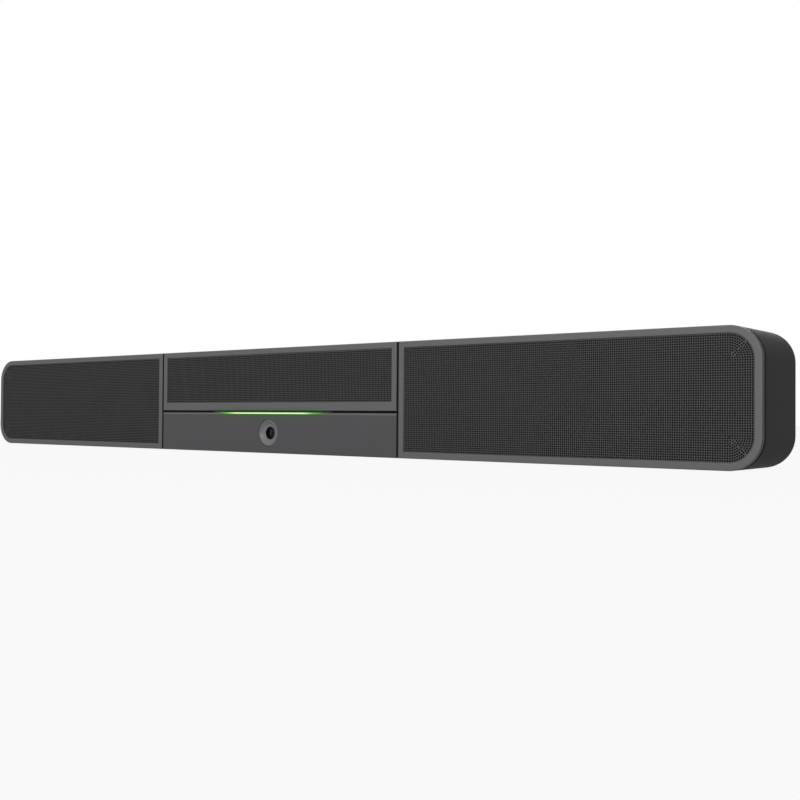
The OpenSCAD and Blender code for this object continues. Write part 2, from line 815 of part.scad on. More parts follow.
barrel_front = dish_d;
barrel_back_r = 5.4;
barrel_step_l = 2;
mouth_d = 2;
mouth_rim = 0.9;
mouth_r = barrel_r - mouth_rim;
lens_t = 2;
lens_seat_w = 1;
eye_rim = 0.6;

module camera_ball() {
    color([0.5, 0.5, 0.5]) difference() {
        facing(0, ball_d, lens_z) sphere(r = ball_r);
        slab(-ball_r, 0) box_outline(-ball_r, ball_r, lens_z - ball_r, lens_z + ball_r);
        slab(ball_d + head_back, ball_d + 2 * ball_r)
            box_outline(-ball_r, ball_r, lens_z - ball_r, lens_z + ball_r);
        // Dish and bore for the barrel
        facing(0, dish_d, lens_z) cylinder(r1 = barrel_r, r2 = eye_r - eye_rim, h = dish_d + lap);
        rod(barrel_r, dish_d - lap, ball_d + head_back + cut, 0, lens_z);
        // Bores for the tilt pins
        translate([-ball_r - cut, front_y + ball_d, lens_z]) rotate([0, 90, 0])
            cylinder(r = pin_r, h = 2 * (ball_r + cut));
    }
}

module lens_barrel() {
    color([0.03, 0.03, 0.03]) difference() {
        union() {
            rod(barrel_r - run, barrel_front, barrel_front + barrel_l - barrel_step_l, 0, lens_z);
            rod(barrel_back_r, barrel_front, barrel_front + barrel_l, 0, lens_z);
        }
        // Stepped mouth round the front lens
        facing(0, barrel_front + mouth_d, lens_z) cylinder(r1 = lens_r, r2 = mouth_r, h = mouth_d + lap);
        rod(lens_r, barrel_front + mouth_d - lap, barrel_front + mouth_d + lens_t, 0, lens_z);
        rod(lens_r - lens_seat_w, barrel_front + mouth_d, barrel_front + barrel_l + cut, 0, lens_z);
    }
}

// Front lens with a domed face
module front_lens() {
    dome = 1.2;
    ball = cap_ball_r(lens_r, dome);
    color([0.1, 0.12, 0.16]) {
        rod(lens_r - run, barrel_front + mouth_d, barrel_front + mouth_d + lens_t, 0, lens_z);
        intersection() {
            facing(0, barrel_front + mouth_d - dome + ball, lens_z) sphere(r = ball);
            rod(lens_r - run, barrel_front, barrel_front + mouth_d + lap, 0, lens_z);
        }
    }
}

sensor_w = 18;
sensor_chip_w = 9;
sensor_chip_t = 2;
sensor_d = barrel_front + barrel_l;

module sensor_board() {
    color([0.1, 0.25, 0.14]) slab(sensor_d, sensor_d + board_t)
        box_outline(-sensor_w / 2, sensor_w / 2, lens_z - sensor_w / 2, lens_z + sensor_w / 2);
    color([0.05, 0.05, 0.05]) slab(sensor_d + board_t - lap, sensor_d + board_t + sensor_chip_t)
        box_outline(-sensor_chip_w / 2, sensor_chip_w / 2, lens_z - sensor_chip_w / 2,
            lens_z + sensor_chip_w / 2);
}

module tilt_pins() {
    color([0.6, 0.6, 0.62])
        for (side = [-1, 1])
            translate([side > 0 ? pin_x0 : -pin_x1, front_y + ball_d, lens_z]) rotate([0, 90, 0])
                cylinder(r = pin_r, h = pin_x1 - pin_x0);
}

// Cradle: two cheeks with bores for the pins, feet on the carrier

// The cradle's back clears the head's farthest corner at any tilt
module camera_cradle() {
    back = ball_d + norm([sensor_d + board_t + sensor_chip_t - ball_d, sensor_w / 2]) + fit;
    color([0.1, 0.1, 0.11]) difference() {
        union() {
            for (side = [-1, 1]) {
                x0 = side > 0 ? cheek_x : -cheek_x - cheek_t;
                slab(ball_d - cheek_front, back + cradle_t)
                    box_outline(x0, x0 + cheek_t, lens_z - cheek_h / 2, lens_z + cheek_h / 2);
                xf = side > 0 ? cheek_x : -cheek_x - cheek_t - foot_l;
                slab(carrier_back, carrier_back + cradle_t)
                    box_outline(xf, xf + cheek_t + foot_l, lens_z - cheek_h / 2, lens_z + cheek_h / 2);
            }
            slab(back, back + cradle_t)
                box_outline(-cheek_x - cheek_t, cheek_x + cheek_t, lens_z - cheek_h / 2,
                    lens_z + cheek_h / 2);
        }
        translate([-pin_x1 - cut, front_y + ball_d, lens_z]) rotate([0, 90, 0])
            cylinder(r = pin_r + run, h = 2 * (pin_x1 + cut));
        for (x = cradle_screw_xs)
            rod(screw_r + slip, carrier_back - cut, carrier_back + cradle_t + cut, x, lens_z);
    }
}

module back_screw(x, d, z, l) {
    rod(screw_r, d - l, d + lap, x, z);
    rod(screw_head_r, d, d + screw_head_h, x, z);
}

module cradle_screws() {
    color([0.55, 0.55, 0.57]) {
        for (x = cradle_screw_xs)
            back_screw(x, carrier_back + cradle_t, lens_z, cradle_t + carrier_grip);
        for (x = mic_screw_xs, z = mic_screw_zs)
            back_screw(x, carrier_back + board_t, z, board_t + carrier_grip);
    }
}

// Electronics

mic_side = 21;                           // room beside the microphone board
mic_w = module_w - 2 * mic_side;
mic_room = 7.6;                          // room above and below the microphone board
mic_h = bar_h - border_w - sill_z - sill_w - 2 * mic_room;
mic_z = (sill_z + sill_w + bar_h - border_w) / 2;
mic_rim = 6;
mic_count = 6;
mic_r = 4.8;
mic_l = 5;
mic_hole_d = 1;
mic_end = 30;                            // outer capsules, from the ends of the board
mic_pitch = (mic_w - 2 * mic_end) / (mic_count - 1);
mic_screw_in = 50;                       // microphone board's screws, from its ends
mic_screw_xs = [mic_screw_in - mic_w / 2, mic_w / 2 - mic_screw_in];
mic_screw_zs = [mic_z - (mic_h - mic_rim) / 2, mic_z + (mic_h - mic_rim) / 2];

module microphone_board() {
    color([0.1, 0.25, 0.14]) difference() {
        slab(carrier_back, carrier_back + board_t)
            box_outline(-mic_w / 2, mic_w / 2, mic_z - mic_h / 2, mic_z + mic_h / 2);
        for (x = mic_screw_xs, z = mic_screw_zs)
            rod(screw_r + slip, carrier_back - cut, carrier_back + board_t + cut, x, z);
    }
}

module microphone_capsules() {
    color([0.65, 0.6, 0.45])
        for (i = [0:mic_count - 1]) difference() {
            x = (i - (mic_count - 1) / 2) * mic_pitch;
            rod(mic_r, carrier_back - mic_l, carrier_back, x, mic_z);
            rod(mic_r / 4, carrier_back - mic_l - cut, carrier_back - mic_l + mic_hole_d, x, mic_z);
        }
}

module main_board() {
    color([0.08, 0.22, 0.12]) difference() {
        slab(main_d, main_d + board_t) box_outline(-main_w / 2, main_w / 2, main_z0, main_z0 + main_h);
        for (x = board_screw_xs, side = [-1, 1])
            rod(screw_r + slip, main_d - cut, main_d + board_t + cut, side * x, board_screw_zs[1]);
        for (side = [-1, 1])
            rod(screw_r + slip, main_d - cut, main_d + board_t + cut, side * board_screw_xs[0],
                board_screw_zs[0]);
    }
}

module board_screws() {
    color([0.55, 0.55, 0.57]) {
        for (x = board_screw_xs, side = [-1, 1]) screw(side * x, main_d, board_screw_zs[1], screw_l);
        for (side = [-1, 1]) screw(side * board_screw_xs[0], main_d, board_screw_zs[0], screw_l);
    }
}

chip_w = 30;
chip_t = 2;
small_chip_w = 16;
small_chip_x = 80;
small_chip_pitch = 30;
small_chip_xs = [for (side = [-1, 1], n = [0, 1]) side * (small_chip_x + n * small_chip_pitch)];
capacitor_r = 4;
capacitor_l = 8;
capacitor_x = 28;
capacitor_pitch = 12;
capacitor_xs = [for (side = [-1, 1], n = [0, 1]) side * (capacitor_x + n * capacitor_pitch)];
capacitor_up = 12;                       // capacitors above the middle of the heat sink
capacitor_z = mount_z + capacitor_up;
sink_w = 84;
sink_h = 34;
sink_base = 3;
sink_gap = 4;                            // air behind the fins
sink_d = bar_d - back_wall - sink_gap;
fin_t = 1.6;
fin_count = 12;
switch_w = 6;
switch_h = 4.5;
lead_plug_w = 10;
lead_plug_h = 9;
lead_plug_t = 6;

// Chips and capacitors on the front, the processor, plugs and switches on the back
module board_components() {
    back = main_d + board_t;
    color([0.06, 0.06, 0.07]) {
        slab(back, back + chip_t)
            box_outline(-chip_w / 2, chip_w / 2, mount_z - chip_w / 2, mount_z + chip_w / 2);
        for (x = small_chip_xs)
            slab(main_d - chip_t, main_d)
                box_outline(x - small_chip_w / 2, x + small_chip_w / 2, mount_z - small_chip_w / 2,
                    mount_z + small_chip_w / 2);
        for (x = button_xs)
            slab(back, back + switch_h)
                box_outline(x - switch_w / 2, x + switch_w / 2, conn_z - switch_w / 2, conn_z + switch_w / 2);
    }
    color([0.2, 0.2, 0.3])
        for (x = capacitor_xs) rod(capacitor_r, main_d - capacitor_l, main_d, x, capacitor_z);
    color([0.85, 0.85, 0.8])
        for (side = [-1, 1])
            slab(main_d - lead_plug_t, main_d)
                box_outline(side * lead_x - lead_plug_w / 2, side * lead_x + lead_plug_w / 2,
                    main_z0 + main_h - lead_plug_h, main_z0 + main_h);
}

module heat_sink() {
    d0 = main_d + board_t + chip_t;
    color([0.6, 0.6, 0.62]) {
        slab(d0, d0 + sink_base)
            box_outline(-sink_w / 2, sink_w / 2, mount_z - sink_h / 2, mount_z + sink_h / 2);
        for (i = [0:fin_count - 1]) {
            x = -sink_w / 2 + i * (sink_w - fin_t) / (fin_count - 1);
            slab(d0 + sink_base - lap, sink_d)
                box_outline(x, x + fin_t, mount_z - sink_h / 2, mount_z + sink_h / 2);
        }
    }
}

// Connectors, from left to right as seen from behind

eth_w = 16.2;
eth_h = 13.6;
eth_x = 46;
eth_pitch = 20;
eth_xs = [eth_x, eth_x + eth_pitch];
hdmi_w = 15;
hdmi_h = 6;
hdmi_x = 20;
usb_w = 9.2;
usb_h = 3.5;
usb_x = -2;
power_w = 14;
power_h = 11;
power_x = -28;
button_x = -52;
button_pitch = 14;
button_xs = [button_x, button_x - button_pitch];
conn_screw_in = 3.6;
conn_screw_xs = [-bay_w / 2 + conn_screw_in, bay_w / 2 - conn_screw_in];
conn_screw_zs = [wall + conn_screw_in, bay_h - conn_screw_in];
tongue_back = 1;
eth_depth = 11;
eth_port_w = 11.8;
eth_port_h = 8.2;
eth_port_up = 0.8;
eth_latch_w = 5;
eth_latch_h = 2.4;
eth_latch_down = 4.2;
hdmi_depth = 9;
hdmi_wall = 0.6;
hdmi_tongue_w = 11;
hdmi_tongue_t = 1.2;
usb_depth = 7;
usb_wall = 0.4;
usb_tongue_w = 6.4;
usb_tongue_t = 0.7;
power_depth = 10;
power_bore_r = 3.2;
power_pin_r = 1;
socket_front = main_d + board_t;
socket_back = bay_front + conn_t + socket_out;

module centred_box(x, w, h) {
    box_outline(x - w / 2, x + w / 2, conn_z - h / 2, conn_z + h / 2);
}

module connector_plate() {
    color([0.3, 0.3, 0.31]) difference() {
        slab(bay_front, bay_front + conn_t)
            box_outline(-bay_w / 2 + fit, bay_w / 2 - fit, wall + fit, bay_h - fit);
        slab(bay_front - cut, bay_front + conn_t + cut) {
            for (x = eth_xs) centred_box(x, eth_w + fit, eth_h + fit);
            centred_box(hdmi_x, hdmi_w + fit, hdmi_h + fit);
            centred_box(usb_x, usb_w + fit, usb_h + fit);
            centred_box(power_x, power_w + fit, power_h + fit);
        }
        for (x = button_xs)
            rod(button_r + slip, bay_front - cut, bay_front + conn_t + cut, x, conn_z);
        for (x = conn_screw_xs, z = conn_screw_zs)
            rod(screw_r + slip, bay_front - cut, bay_front + conn_t + cut, x, z);
    }
}

module connector_plate_screws() {
    color([0.55, 0.55, 0.57])
        for (x = conn_screw_xs, z = conn_screw_zs) back_screw(x, bay_front + conn_t, z, bay_wall + conn_t);
}

// A socket shell from the board to the plate, open toward the back
module shell(x, w, h, t, depth) {
    difference() {
        slab(socket_front, socket_back) centred_box(x, w, h);
        slab(socket_back - depth, socket_back + cut) centred_box(x, w - 2 * t, h - 2 * t);
    }
}

module ethernet_sockets() {
    color([0.7, 0.7, 0.72])
        for (x = eth_xs) difference() {
            slab(socket_front, socket_back) centred_box(x, eth_w, eth_h);
            slab(socket_back - eth_depth, socket_back + cut) {
                translate([0, eth_port_up]) centred_box(x, eth_port_w, eth_port_h);
                translate([0, -eth_latch_down]) centred_box(x, eth_latch_w, eth_latch_h);
            }
        }
}

module hdmi_socket() {
    color([0.7, 0.7, 0.72]) {
        shell(hdmi_x, hdmi_w, hdmi_h, hdmi_wall, hdmi_depth);
        slab(socket_back - hdmi_depth - lap, socket_back - tongue_back)
            centred_box(hdmi_x, hdmi_tongue_w, hdmi_tongue_t);
    }
}

module usb_socket() {
    color([0.7, 0.7, 0.72]) {
        shell(usb_x, usb_w, usb_h, usb_wall, usb_depth);
        slab(socket_back - usb_depth - lap, socket_back - tongue_back)
            centred_box(usb_x, usb_tongue_w, usb_tongue_t);
    }
}

module power_inlet() {
    color([0.05, 0.05, 0.05]) difference() {
        slab(socket_front, socket_back) centred_box(power_x, power_w, power_h);
        rod(power_bore_r, socket_back - power_depth, socket_back + cut, power_x, conn_z);
    }
    color([0.75, 0.7, 0.5])
        rod(power_pin_r, socket_back - power_depth - lap, socket_back - tongue_back, power_x, conn_z);
}

// Push button: cap through the plate, collar behind it, stem to its switch
button_out = 1.5;
collar_w = 0.9;
collar_t = 1.2;

module button(x) {
    collar = bay_front - slip;
    stem = socket_front + switch_h + button_travel + slip;
    rod(button_r, collar - lap, bay_front + conn_t + button_out, x, conn_z);
    rod(button_r + collar_w, collar - collar_t, collar, x, conn_z);
    rod(button_r / 2, stem, collar - collar_t + lap, x, conn_z);
}

module setup_button() color([0.75, 0.75, 0.75]) button(button_xs[0]);
module reset_button() color([0.6, 0.2, 0.15]) button(button_xs[1]);

// Loudspeakers

module woofer_at(i) {
    facing(WOOFER_X[i], woofer_seat, mid_z) children();
}

// Flange, four legs, the ledge for the spider and the ring that the magnet hangs on
module woofer_basket(i) {
    outer = woofer_hole_r - fit;
    cup_r = ledge_r + basket_wall;
    terminal_z = woofer_seat - lead_d - terminal_l / 2;
    woofer_at(i) difference() {
        union() {
            rotate_extrude() polygon([[surround_in, 0], [surround_in, woofer_flange_t],
                [woofer_r, woofer_flange_t], [woofer_r, 0], [outer, 0], [cup_r, ledge_z],
                [cup_r, basket_z], [gap_r + coil_room, basket_z], [gap_r + coil_room, basket_z + basket_t],
                [ledge_r, basket_z + basket_t], [ledge_r, ledge_z], [ledge_r + ledge_w, ledge_z]]);
            translate([-terminal_w / 2, cup_r - lap, terminal_z])
                cube([terminal_w, terminal_t, terminal_l]);
        }
        for (a = [45:90:315])
            rotate(a) translate([woofer_screw_r, 0, -cut])
                cylinder(r = screw_r + slip, h = woofer_flange_t + 2 * cut);
        for (a = [0:90:270])
            rotate(a) translate([ledge_r, -leg_gap / 2, ledge_z + leg_foot])
                cube([woofer_r - ledge_r, leg_gap, -ledge_z - 2 * leg_foot]);
    }
}

module left_woofer_baskets() color([0.14, 0.14, 0.15]) {
    woofer_basket(0);
    woofer_basket(1);
}

module right_woofer_baskets() color([0.14, 0.14, 0.15]) {
    woofer_basket(2);
    woofer_basket(3);
}

// Top plate, ring magnet and back plate with its pole, all in one closed motor
module woofer_motor() {
    rotate_extrude() {
        box_outline(gap_r, magnet_r - plate_in, top_plate_z, basket_z);
        box_outline(gap_r + coil_room, magnet_r, magnet_z, top_plate_z);
        box_outline(vent_r, magnet_r - plate_in, magnet_z - back_plate_t, magnet_z);
        box_outline(vent_r, pole_r, magnet_z, basket_z);
    }
}

module woofer_motors() {
    color([0.25, 0.25, 0.27]) for (i = [0:3]) woofer_at(i) woofer_motor();
}

// Cone, coil former and dust cap
module woofer_cone(i) {
    rise = (lip_z - cone_neck_z - cone_t) / (cone_r - glue_w - coil_r);
    cap_z = cone_neck_z + cone_t + rise * cap_over;
    cap_ball = cap_ball_r(coil_r + cap_over, cap_h);
    color([0.09, 0.09, 0.1]) woofer_at(i) {
        rotate_extrude() {
            polygon([[coil_r - coil_t, cone_neck_z], [coil_r, cone_neck_z], [cone_r - glue_w, lip_z - cone_t],
                [cone_r, lip_z - cone_t], [cone_r, lip_z], [cone_r - glue_w, lip_z],
                [coil_r - coil_t, cone_neck_z + cone_t]]);
            box_outline(coil_r - coil_t, coil_r, top_plate_z - coil_over, cone_neck_z);
        }
        intersection() {
            translate([0, 0, cap_z + cap_h - cap_ball]) difference() {
                sphere(r = cap_ball);
                sphere(r = cap_ball - skin_t);
            }
            translate([0, 0, cap_z - skin_t]) cylinder(r = woofer_r, h = 2 * cap_h);
        }
    }
}

module woofer_cone_1() woofer_cone(0);
module woofer_cone_2() woofer_cone(1);
module woofer_cone_3() woofer_cone(2);
module woofer_cone_4() woofer_cone(3);

// Half-roll surround in front and pleated spider behind, which both bend as the cone moves
pleats = 4;
pleat_steps = 6;
pleat_h = 1;

module woofer_suspension(i) {
    spider_in = coil_r + run;
    pleated = ledge_r - spider_in;
    wave = [for (k = [0:pleats * pleat_steps])
        [spider_in + k * pleated / (pleats * pleat_steps),
            ledge_z + pleat_h * (1 - cos(360 * k / pleat_steps)) / 2]];
    color([0.05, 0.05, 0.05]) woofer_at(i) rotate_extrude() {
        intersection() {
            translate([roll_mid, lip_z]) difference() {
                circle(roll_r);
                circle(roll_r - skin_t);
            }
            box_outline(0, woofer_r, lip_z, lip_z + roll_r + cut);
        }
        box_outline(cone_r - glue_w, roll_mid - roll_r + skin_t, lip_z, lip_z + skin_t);
        box_outline(roll_mid + roll_r - skin_t, surround_in + glue_w, lip_z, lip_z + skin_t);
        polygon(concat(wave, [[ledge_r + glue_w, ledge_z], [ledge_r + glue_w, ledge_z + skin_t]],
            [for (k = [len(wave) - 1:-1:0]) wave[k] + [0, skin_t]]));
    }
}

module woofer_suspension_1() woofer_suspension(0);
module woofer_suspension_2() woofer_suspension(1);
module woofer_suspension_3() woofer_suspension(2);
module woofer_suspension_4() woofer_suspension(3);

tweeter_screw_edge = 2.5;
tweeter_screw_r = tweeter_r - tweeter_screw_edge;
tweeter_cup_l = 16;
dome_h = 2.6;
dome_seat = 1;
horn_w = 5;

// Face plate with a short horn, motor cup and dome
module tweeter(x) {
    ball = cap_ball_r(dome_r, dome_h);
    color([0.1, 0.1, 0.11]) facing(x, tweeter_seat, mid_z) difference() {
        union() {
            cylinder(r = tweeter_r, h = tweeter_flange_t);
            translate([0, 0, -tweeter_cup_l]) cylinder(r = tweeter_hole_r - fit, h = tweeter_cup_l + lap);
        }
        translate([0, 0, dome_seat - lap])
            cylinder(r1 = dome_r + slip, r2 = dome_r + horn_w, h = tweeter_flange_t - dome_seat + 2 * lap);
        cylinder(r = dome_r + slip, h = dome_seat);
        for (a = [0:90:270])
            rotate(a) translate([tweeter_screw_r, 0, -cut])
                cylinder(r = screw_r + slip, h = tweeter_flange_t + 2 * cut);
    }
    color([0.3, 0.3, 0.32]) facing(x, tweeter_seat, mid_z)
        intersection() {
            translate([0, 0, dome_h - ball]) sphere(r = ball);
            cylinder(r = dome_r, h = 2 * dome_h);
        }
}

module left_tweeter() tweeter(-pod_mid);
module right_tweeter() tweeter(pod_mid);

module driver_screws() {
    color([0.4, 0.4, 0.42]) {
        for (i = [0:3], a = [45:90:315])
            screw(WOOFER_X[i] + woofer_screw_r * cos(a), woofer_seat - woofer_flange_t,
                mid_z + woofer_screw_r * sin(a), woofer_flange_t + driver_grip, driver_screw_head_r);
        for (side = [-1, 1], a = [0:90:270])
            screw(side * pod_mid + tweeter_screw_r * cos(a), tweeter_seat - tweeter_flange_t,
                mid_z + tweeter_screw_r * sin(a), tweeter_flange_t + tweeter_grip, driver_screw_head_r);
    }
}

// Flared tube that opens behind the grille
port_wall = 1.6;
port_lip = 0.6;
port_flare = 4;

module bass_port() {
    color([0.06, 0.06, 0.06]) facing(port_x, bezel_d, mid_z) rotate([180, 0, 0]) rotate_extrude()
        polygon([[port_r - port_wall, port_flare], [port_r - port_lip, 0], [port_r, 0], [port_r, port_l],
            [port_r - port_wall, port_l]]);
}

module right_bass_port() bass_port();
module left_bass_port() left() bass_port();

// Loudspeaker leads: a run along the bar with a drop to each woofer
drop_z = mid_z + ledge_r + basket_wall + terminal_t;

module speaker_lead() {
    color([0.6, 0.12, 0.1]) {
        translate([lead_x, front_y + lead_d, lead_z]) rotate([0, 90, 0])
            cylinder(r = lead_r, h = WOOFER_X[3] - lead_x);
        for (x = [WOOFER_X[2], WOOFER_X[3]])
            translate([x, front_y + lead_d, drop_z]) cylinder(r = lead_r, h = lead_z - drop_z);
        rod(lead_r, lead_d, main_d - lead_plug_t, lead_x, lead_z);
        for (x = [lead_x, WOOFER_X[3]])
            translate([x, front_y + lead_d, lead_z]) sphere(r = lead_r);
    }
}

module right_speaker_lead() speaker_lead();
module left_speaker_lead() left() speaker_lead();

module lead_grommets() {
    color([0.04, 0.04, 0.04])
        for (side = [-1, 1])
            translate([side * joint_x - wall - joint_gap / 2, front_y + lead_d, lead_z]) rotate([0, 90, 0])
                difference() {
                    cylinder(r = grommet_r, h = 2 * wall + joint_gap);
                    translate([0, 0, -cut]) cylinder(r = lead_r + run, h = 2 * wall + joint_gap + 2 * cut);
                }
}

left_housing();
right_housing();
centre_housing();
mounting_plate();
mounting_screws();
threaded_inserts();
left_bezel();
right_bezel();
centre_bezel();
left_grille();
right_grille();
centre_grille();
grille_cloths();
left_baffle();
right_baffle();
centre_carrier();
baffle_screws();
camera_fascia();
light_guide();
light_board();
camera_ball();
lens_barrel();
front_lens();
sensor_board();
tilt_pins();
camera_cradle();
cradle_screws();
microphone_board();
microphone_capsules();
main_board();
board_components();
heat_sink();
board_screws();
connector_plate();
connector_plate_screws();
ethernet_sockets();
hdmi_socket();
usb_socket();
power_inlet();
setup_button();
reset_button();
left_bass_port();
right_bass_port();
left_woofer_baskets();
right_woofer_baskets();
woofer_motors();
driver_screws();
woofer_cone_1();
woofer_cone_2();
woofer_cone_3();
woofer_cone_4();
woofer_suspension_1();
woofer_suspension_2();
woofer_suspension_3();
woofer_suspension_4();
left_tweeter();
right_tweeter();
left_speaker_lead();
right_speaker_lead();
lead_grommets();
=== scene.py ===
import math

import bmesh
import bpy
from mathutils import Matrix, Vector, geometry


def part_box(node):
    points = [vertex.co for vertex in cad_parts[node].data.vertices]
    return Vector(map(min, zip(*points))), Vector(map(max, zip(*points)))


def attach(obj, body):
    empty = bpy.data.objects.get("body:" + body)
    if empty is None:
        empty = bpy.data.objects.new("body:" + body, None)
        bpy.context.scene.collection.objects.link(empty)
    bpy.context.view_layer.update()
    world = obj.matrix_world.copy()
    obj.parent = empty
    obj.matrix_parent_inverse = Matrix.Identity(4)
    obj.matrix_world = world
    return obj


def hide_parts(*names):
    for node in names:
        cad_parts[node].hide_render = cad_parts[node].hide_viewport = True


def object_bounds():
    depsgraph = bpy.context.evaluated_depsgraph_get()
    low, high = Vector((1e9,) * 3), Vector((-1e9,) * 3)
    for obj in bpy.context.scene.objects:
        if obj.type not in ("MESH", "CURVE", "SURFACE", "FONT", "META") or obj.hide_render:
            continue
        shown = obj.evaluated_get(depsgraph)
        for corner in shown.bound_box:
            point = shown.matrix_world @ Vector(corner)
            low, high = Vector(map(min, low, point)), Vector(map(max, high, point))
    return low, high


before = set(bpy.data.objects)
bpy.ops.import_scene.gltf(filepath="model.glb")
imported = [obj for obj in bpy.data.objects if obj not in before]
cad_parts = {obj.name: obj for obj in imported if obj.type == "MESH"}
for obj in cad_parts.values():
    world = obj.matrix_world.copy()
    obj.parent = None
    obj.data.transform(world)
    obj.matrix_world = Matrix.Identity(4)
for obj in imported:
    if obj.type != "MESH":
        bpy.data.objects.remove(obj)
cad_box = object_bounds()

MM = 0.001

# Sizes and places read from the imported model, in metres. Depths run backward from the bar's front.
bar_lo, bar_hi = cad_box
front_y = bar_lo.y
bar_top = bar_hi.z
end_x = bar_hi.x
mid_z = bar_top / 2
pod_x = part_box("right_bezel")[0].x
centre_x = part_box("centre_bezel")[1].x
sill_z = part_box("centre_bezel")[0].z
panel_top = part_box("camera_fascia")[1].z
light_lo, light_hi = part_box("light_guide")
light_half = light_hi.x
ball_lo, ball_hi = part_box("camera_ball")
lens_z = (ball_lo.z + ball_hi.z) / 2
ball_r = (ball_hi.z - ball_lo.z) / 2
barrel_lo, barrel_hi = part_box("lens_barrel")
glass_lo, glass_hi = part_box("front_lens")
socket_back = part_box("ethernet_sockets")[1].y

# Front frames: rounded front edge, side darkened with painted shade and cut by a shadow line and a rebate,
# lip over the grille
corner_r = 26 * MM
frame_depth = 6 * MM
border_w = 6 * MM
edge_r = 1.0 * MM
# painted shade: a frame's colour turns dark from this depth behind its front
painted_shade_from = 0.7 * edge_r
line_in = 0.5 * MM
line_front = 1.2 * MM
line_back = 2.0 * MM
rebate_in = 1.6 * MM
rebate_front = 4.4 * MM
lip_t = 1.2 * MM
lip_w = 1.5 * MM
sill_w = 8.5 * MM
inner_chamfer = 0.5 * MM
frame_fit = 0.2 * MM
tray_inset = border_w - lip_w

# Perforated sheets, their holes darkened with painted shade a little way behind the face
sheet_t = 0.8 * MM
hole_shade_from = 0.08 * MM
hole_pitch = 1.9 * MM
hole_w = 1.36 * MM
hole_margin = 0.3 * MM
corner_gap = 1.9 * hole_pitch
fold_t = 0.5 * MM

# Camera panel and eye
panel_t = 2.5 * MM
panel_round = 1.2 * MM
panel_top_round = 2.4 * MM
eye_r = 13.2 * MM
eye_hole_r = 13.75 * MM
seat_w = 2.6 * MM
ball_depth = math.sqrt(ball_r**2 - eye_r**2)
coating_r = 4.6 * MM

# Status light: half lengths of the part that is fully lit and of the part at full height
light_core = 50 * MM
light_full = 59 * MM
light_mid_z = panel_top - 0.75 * MM
halo_fall = 1.8 * MM
halo_share = 0.75

# Viewpoint
lens_focal = 46.35
sensor_w = 36.0
view_place = (776.7 * MM, -798.8 * MM, 39.0 * MM)
view_yaw = math.radians(38.378)
view_pitch = math.radians(0.935)
view_roll = math.radians(-0.421)

# Studio
floor_size = 12.0
paper_spots = 0.8
floor_white = 0.92
ambient = 0.3

# Steps round corners and round turned bodies
CORNER_STEPS = 24
TURN_STEPS = 96
SMALL_STEPS = 48
PIN_STEPS = 32

# Sharpest edge that is shaded smooth, how near points merge, and a gap too fine to see
CREASE = math.radians(32)
WELD = 1e-7
HAIR = 0.005 * MM

# The triangulation that is asked for: only what lies inside the outlines
INSIDE_ONLY = 1


def shade(red, green, blue):
    """A colour given as seen, from 0 to 255, in the shader's linear units."""
    return tuple(
        level / 12.92 if level <= 0.04045 else ((level + 0.055) / 1.055) ** 2.4
        for level in (red / 255, green / 255, blue / 255)
    ) + (1.0,)


frame_grey = shade(102, 102, 104)
# painted shade on the sides of the frames
frame_side_painted_shade = shade(54, 54, 55)
panel_grey = shade(80, 79, 81)
# painted highlight on the camera panel's rounded top edge
panel_edge_highlight = shade(104, 104, 105)
housing_grey = shade(46, 46, 47)
sheet_grey = shade(76, 76, 76)
# painted shade in the holes of the grille sheets
hole_wall_painted_shade = shade(14, 14, 14)
halo_green = shade(58, 100, 34)
light_white = shade(222, 255, 184)
light_green = shade(100, 204, 60)
light_deep_green = shade(34, 104, 12)
light_edge_green = shade(14, 46, 4)
pure_white = shade(255, 255, 255)
pure_black = shade(0, 0, 0)


# Shader values and finishes


class Value:
    """A shader value, whose sums and products add Math nodes to the tree that it belongs to."""

    def __init__(self, nodes, socket):
        self.nodes = nodes
        self.socket = socket

    def math(self, operation, *operands):
        return self.nodes.node("Math", {"operation": operation}, dict(enumerate(operands)))

    def __add__(self, other):
        return self.math("ADD", self, other)

    def __radd__(self, other):
        return self.math("ADD", other, self)

    def __sub__(self, other):
        return self.math("SUBTRACT", self, other)

    def __rsub__(self, other):
        return self.math("SUBTRACT", other, self)

    def __mul__(self, other):
        return self.math("MULTIPLY", self, other)

    def __rmul__(self, other):
        return self.math("MULTIPLY", other, self)

    def __truediv__(self, other):
        return self.math("DIVIDE", self, other)

    def __rtruediv__(self, other):
        return self.math("DIVIDE", other, self)

    def __pow__(self, other):
        return self.math("POWER", self, other)

    def __neg__(self):
        return self.math("MULTIPLY", self, -1.0)

    def __abs__(self):
        return self.math("ABSOLUTE", self)

    def least(self, other):
        return self.math("MINIMUM", self, other)

    def most(self, other):
        return self.math("MAXIMUM", self, other)

    def clipped(self):
        return self.most(0.0).least(1.0)

    def over(self, limit):
        """1 above the limit, 0 below it."""
        return self.math("GREATER_THAN", self, limit)

    def under(self, limit):
        """1 below the limit, 0 above it."""
        return self.math("LESS_THAN", self, limit)

    def exponent(self):
        return self.math("EXPONENT", self)

    def waves(self, length):
        """A sine wave of the given length, from 0 to 1."""
        turn = self * (2 * math.pi / length)
        return self.math("SINE", turn) * 0.5 + 0.5

    def across(self, low, high):
        """Low where the value is 0 and high where it is 1."""
        return low + (high - low) * self


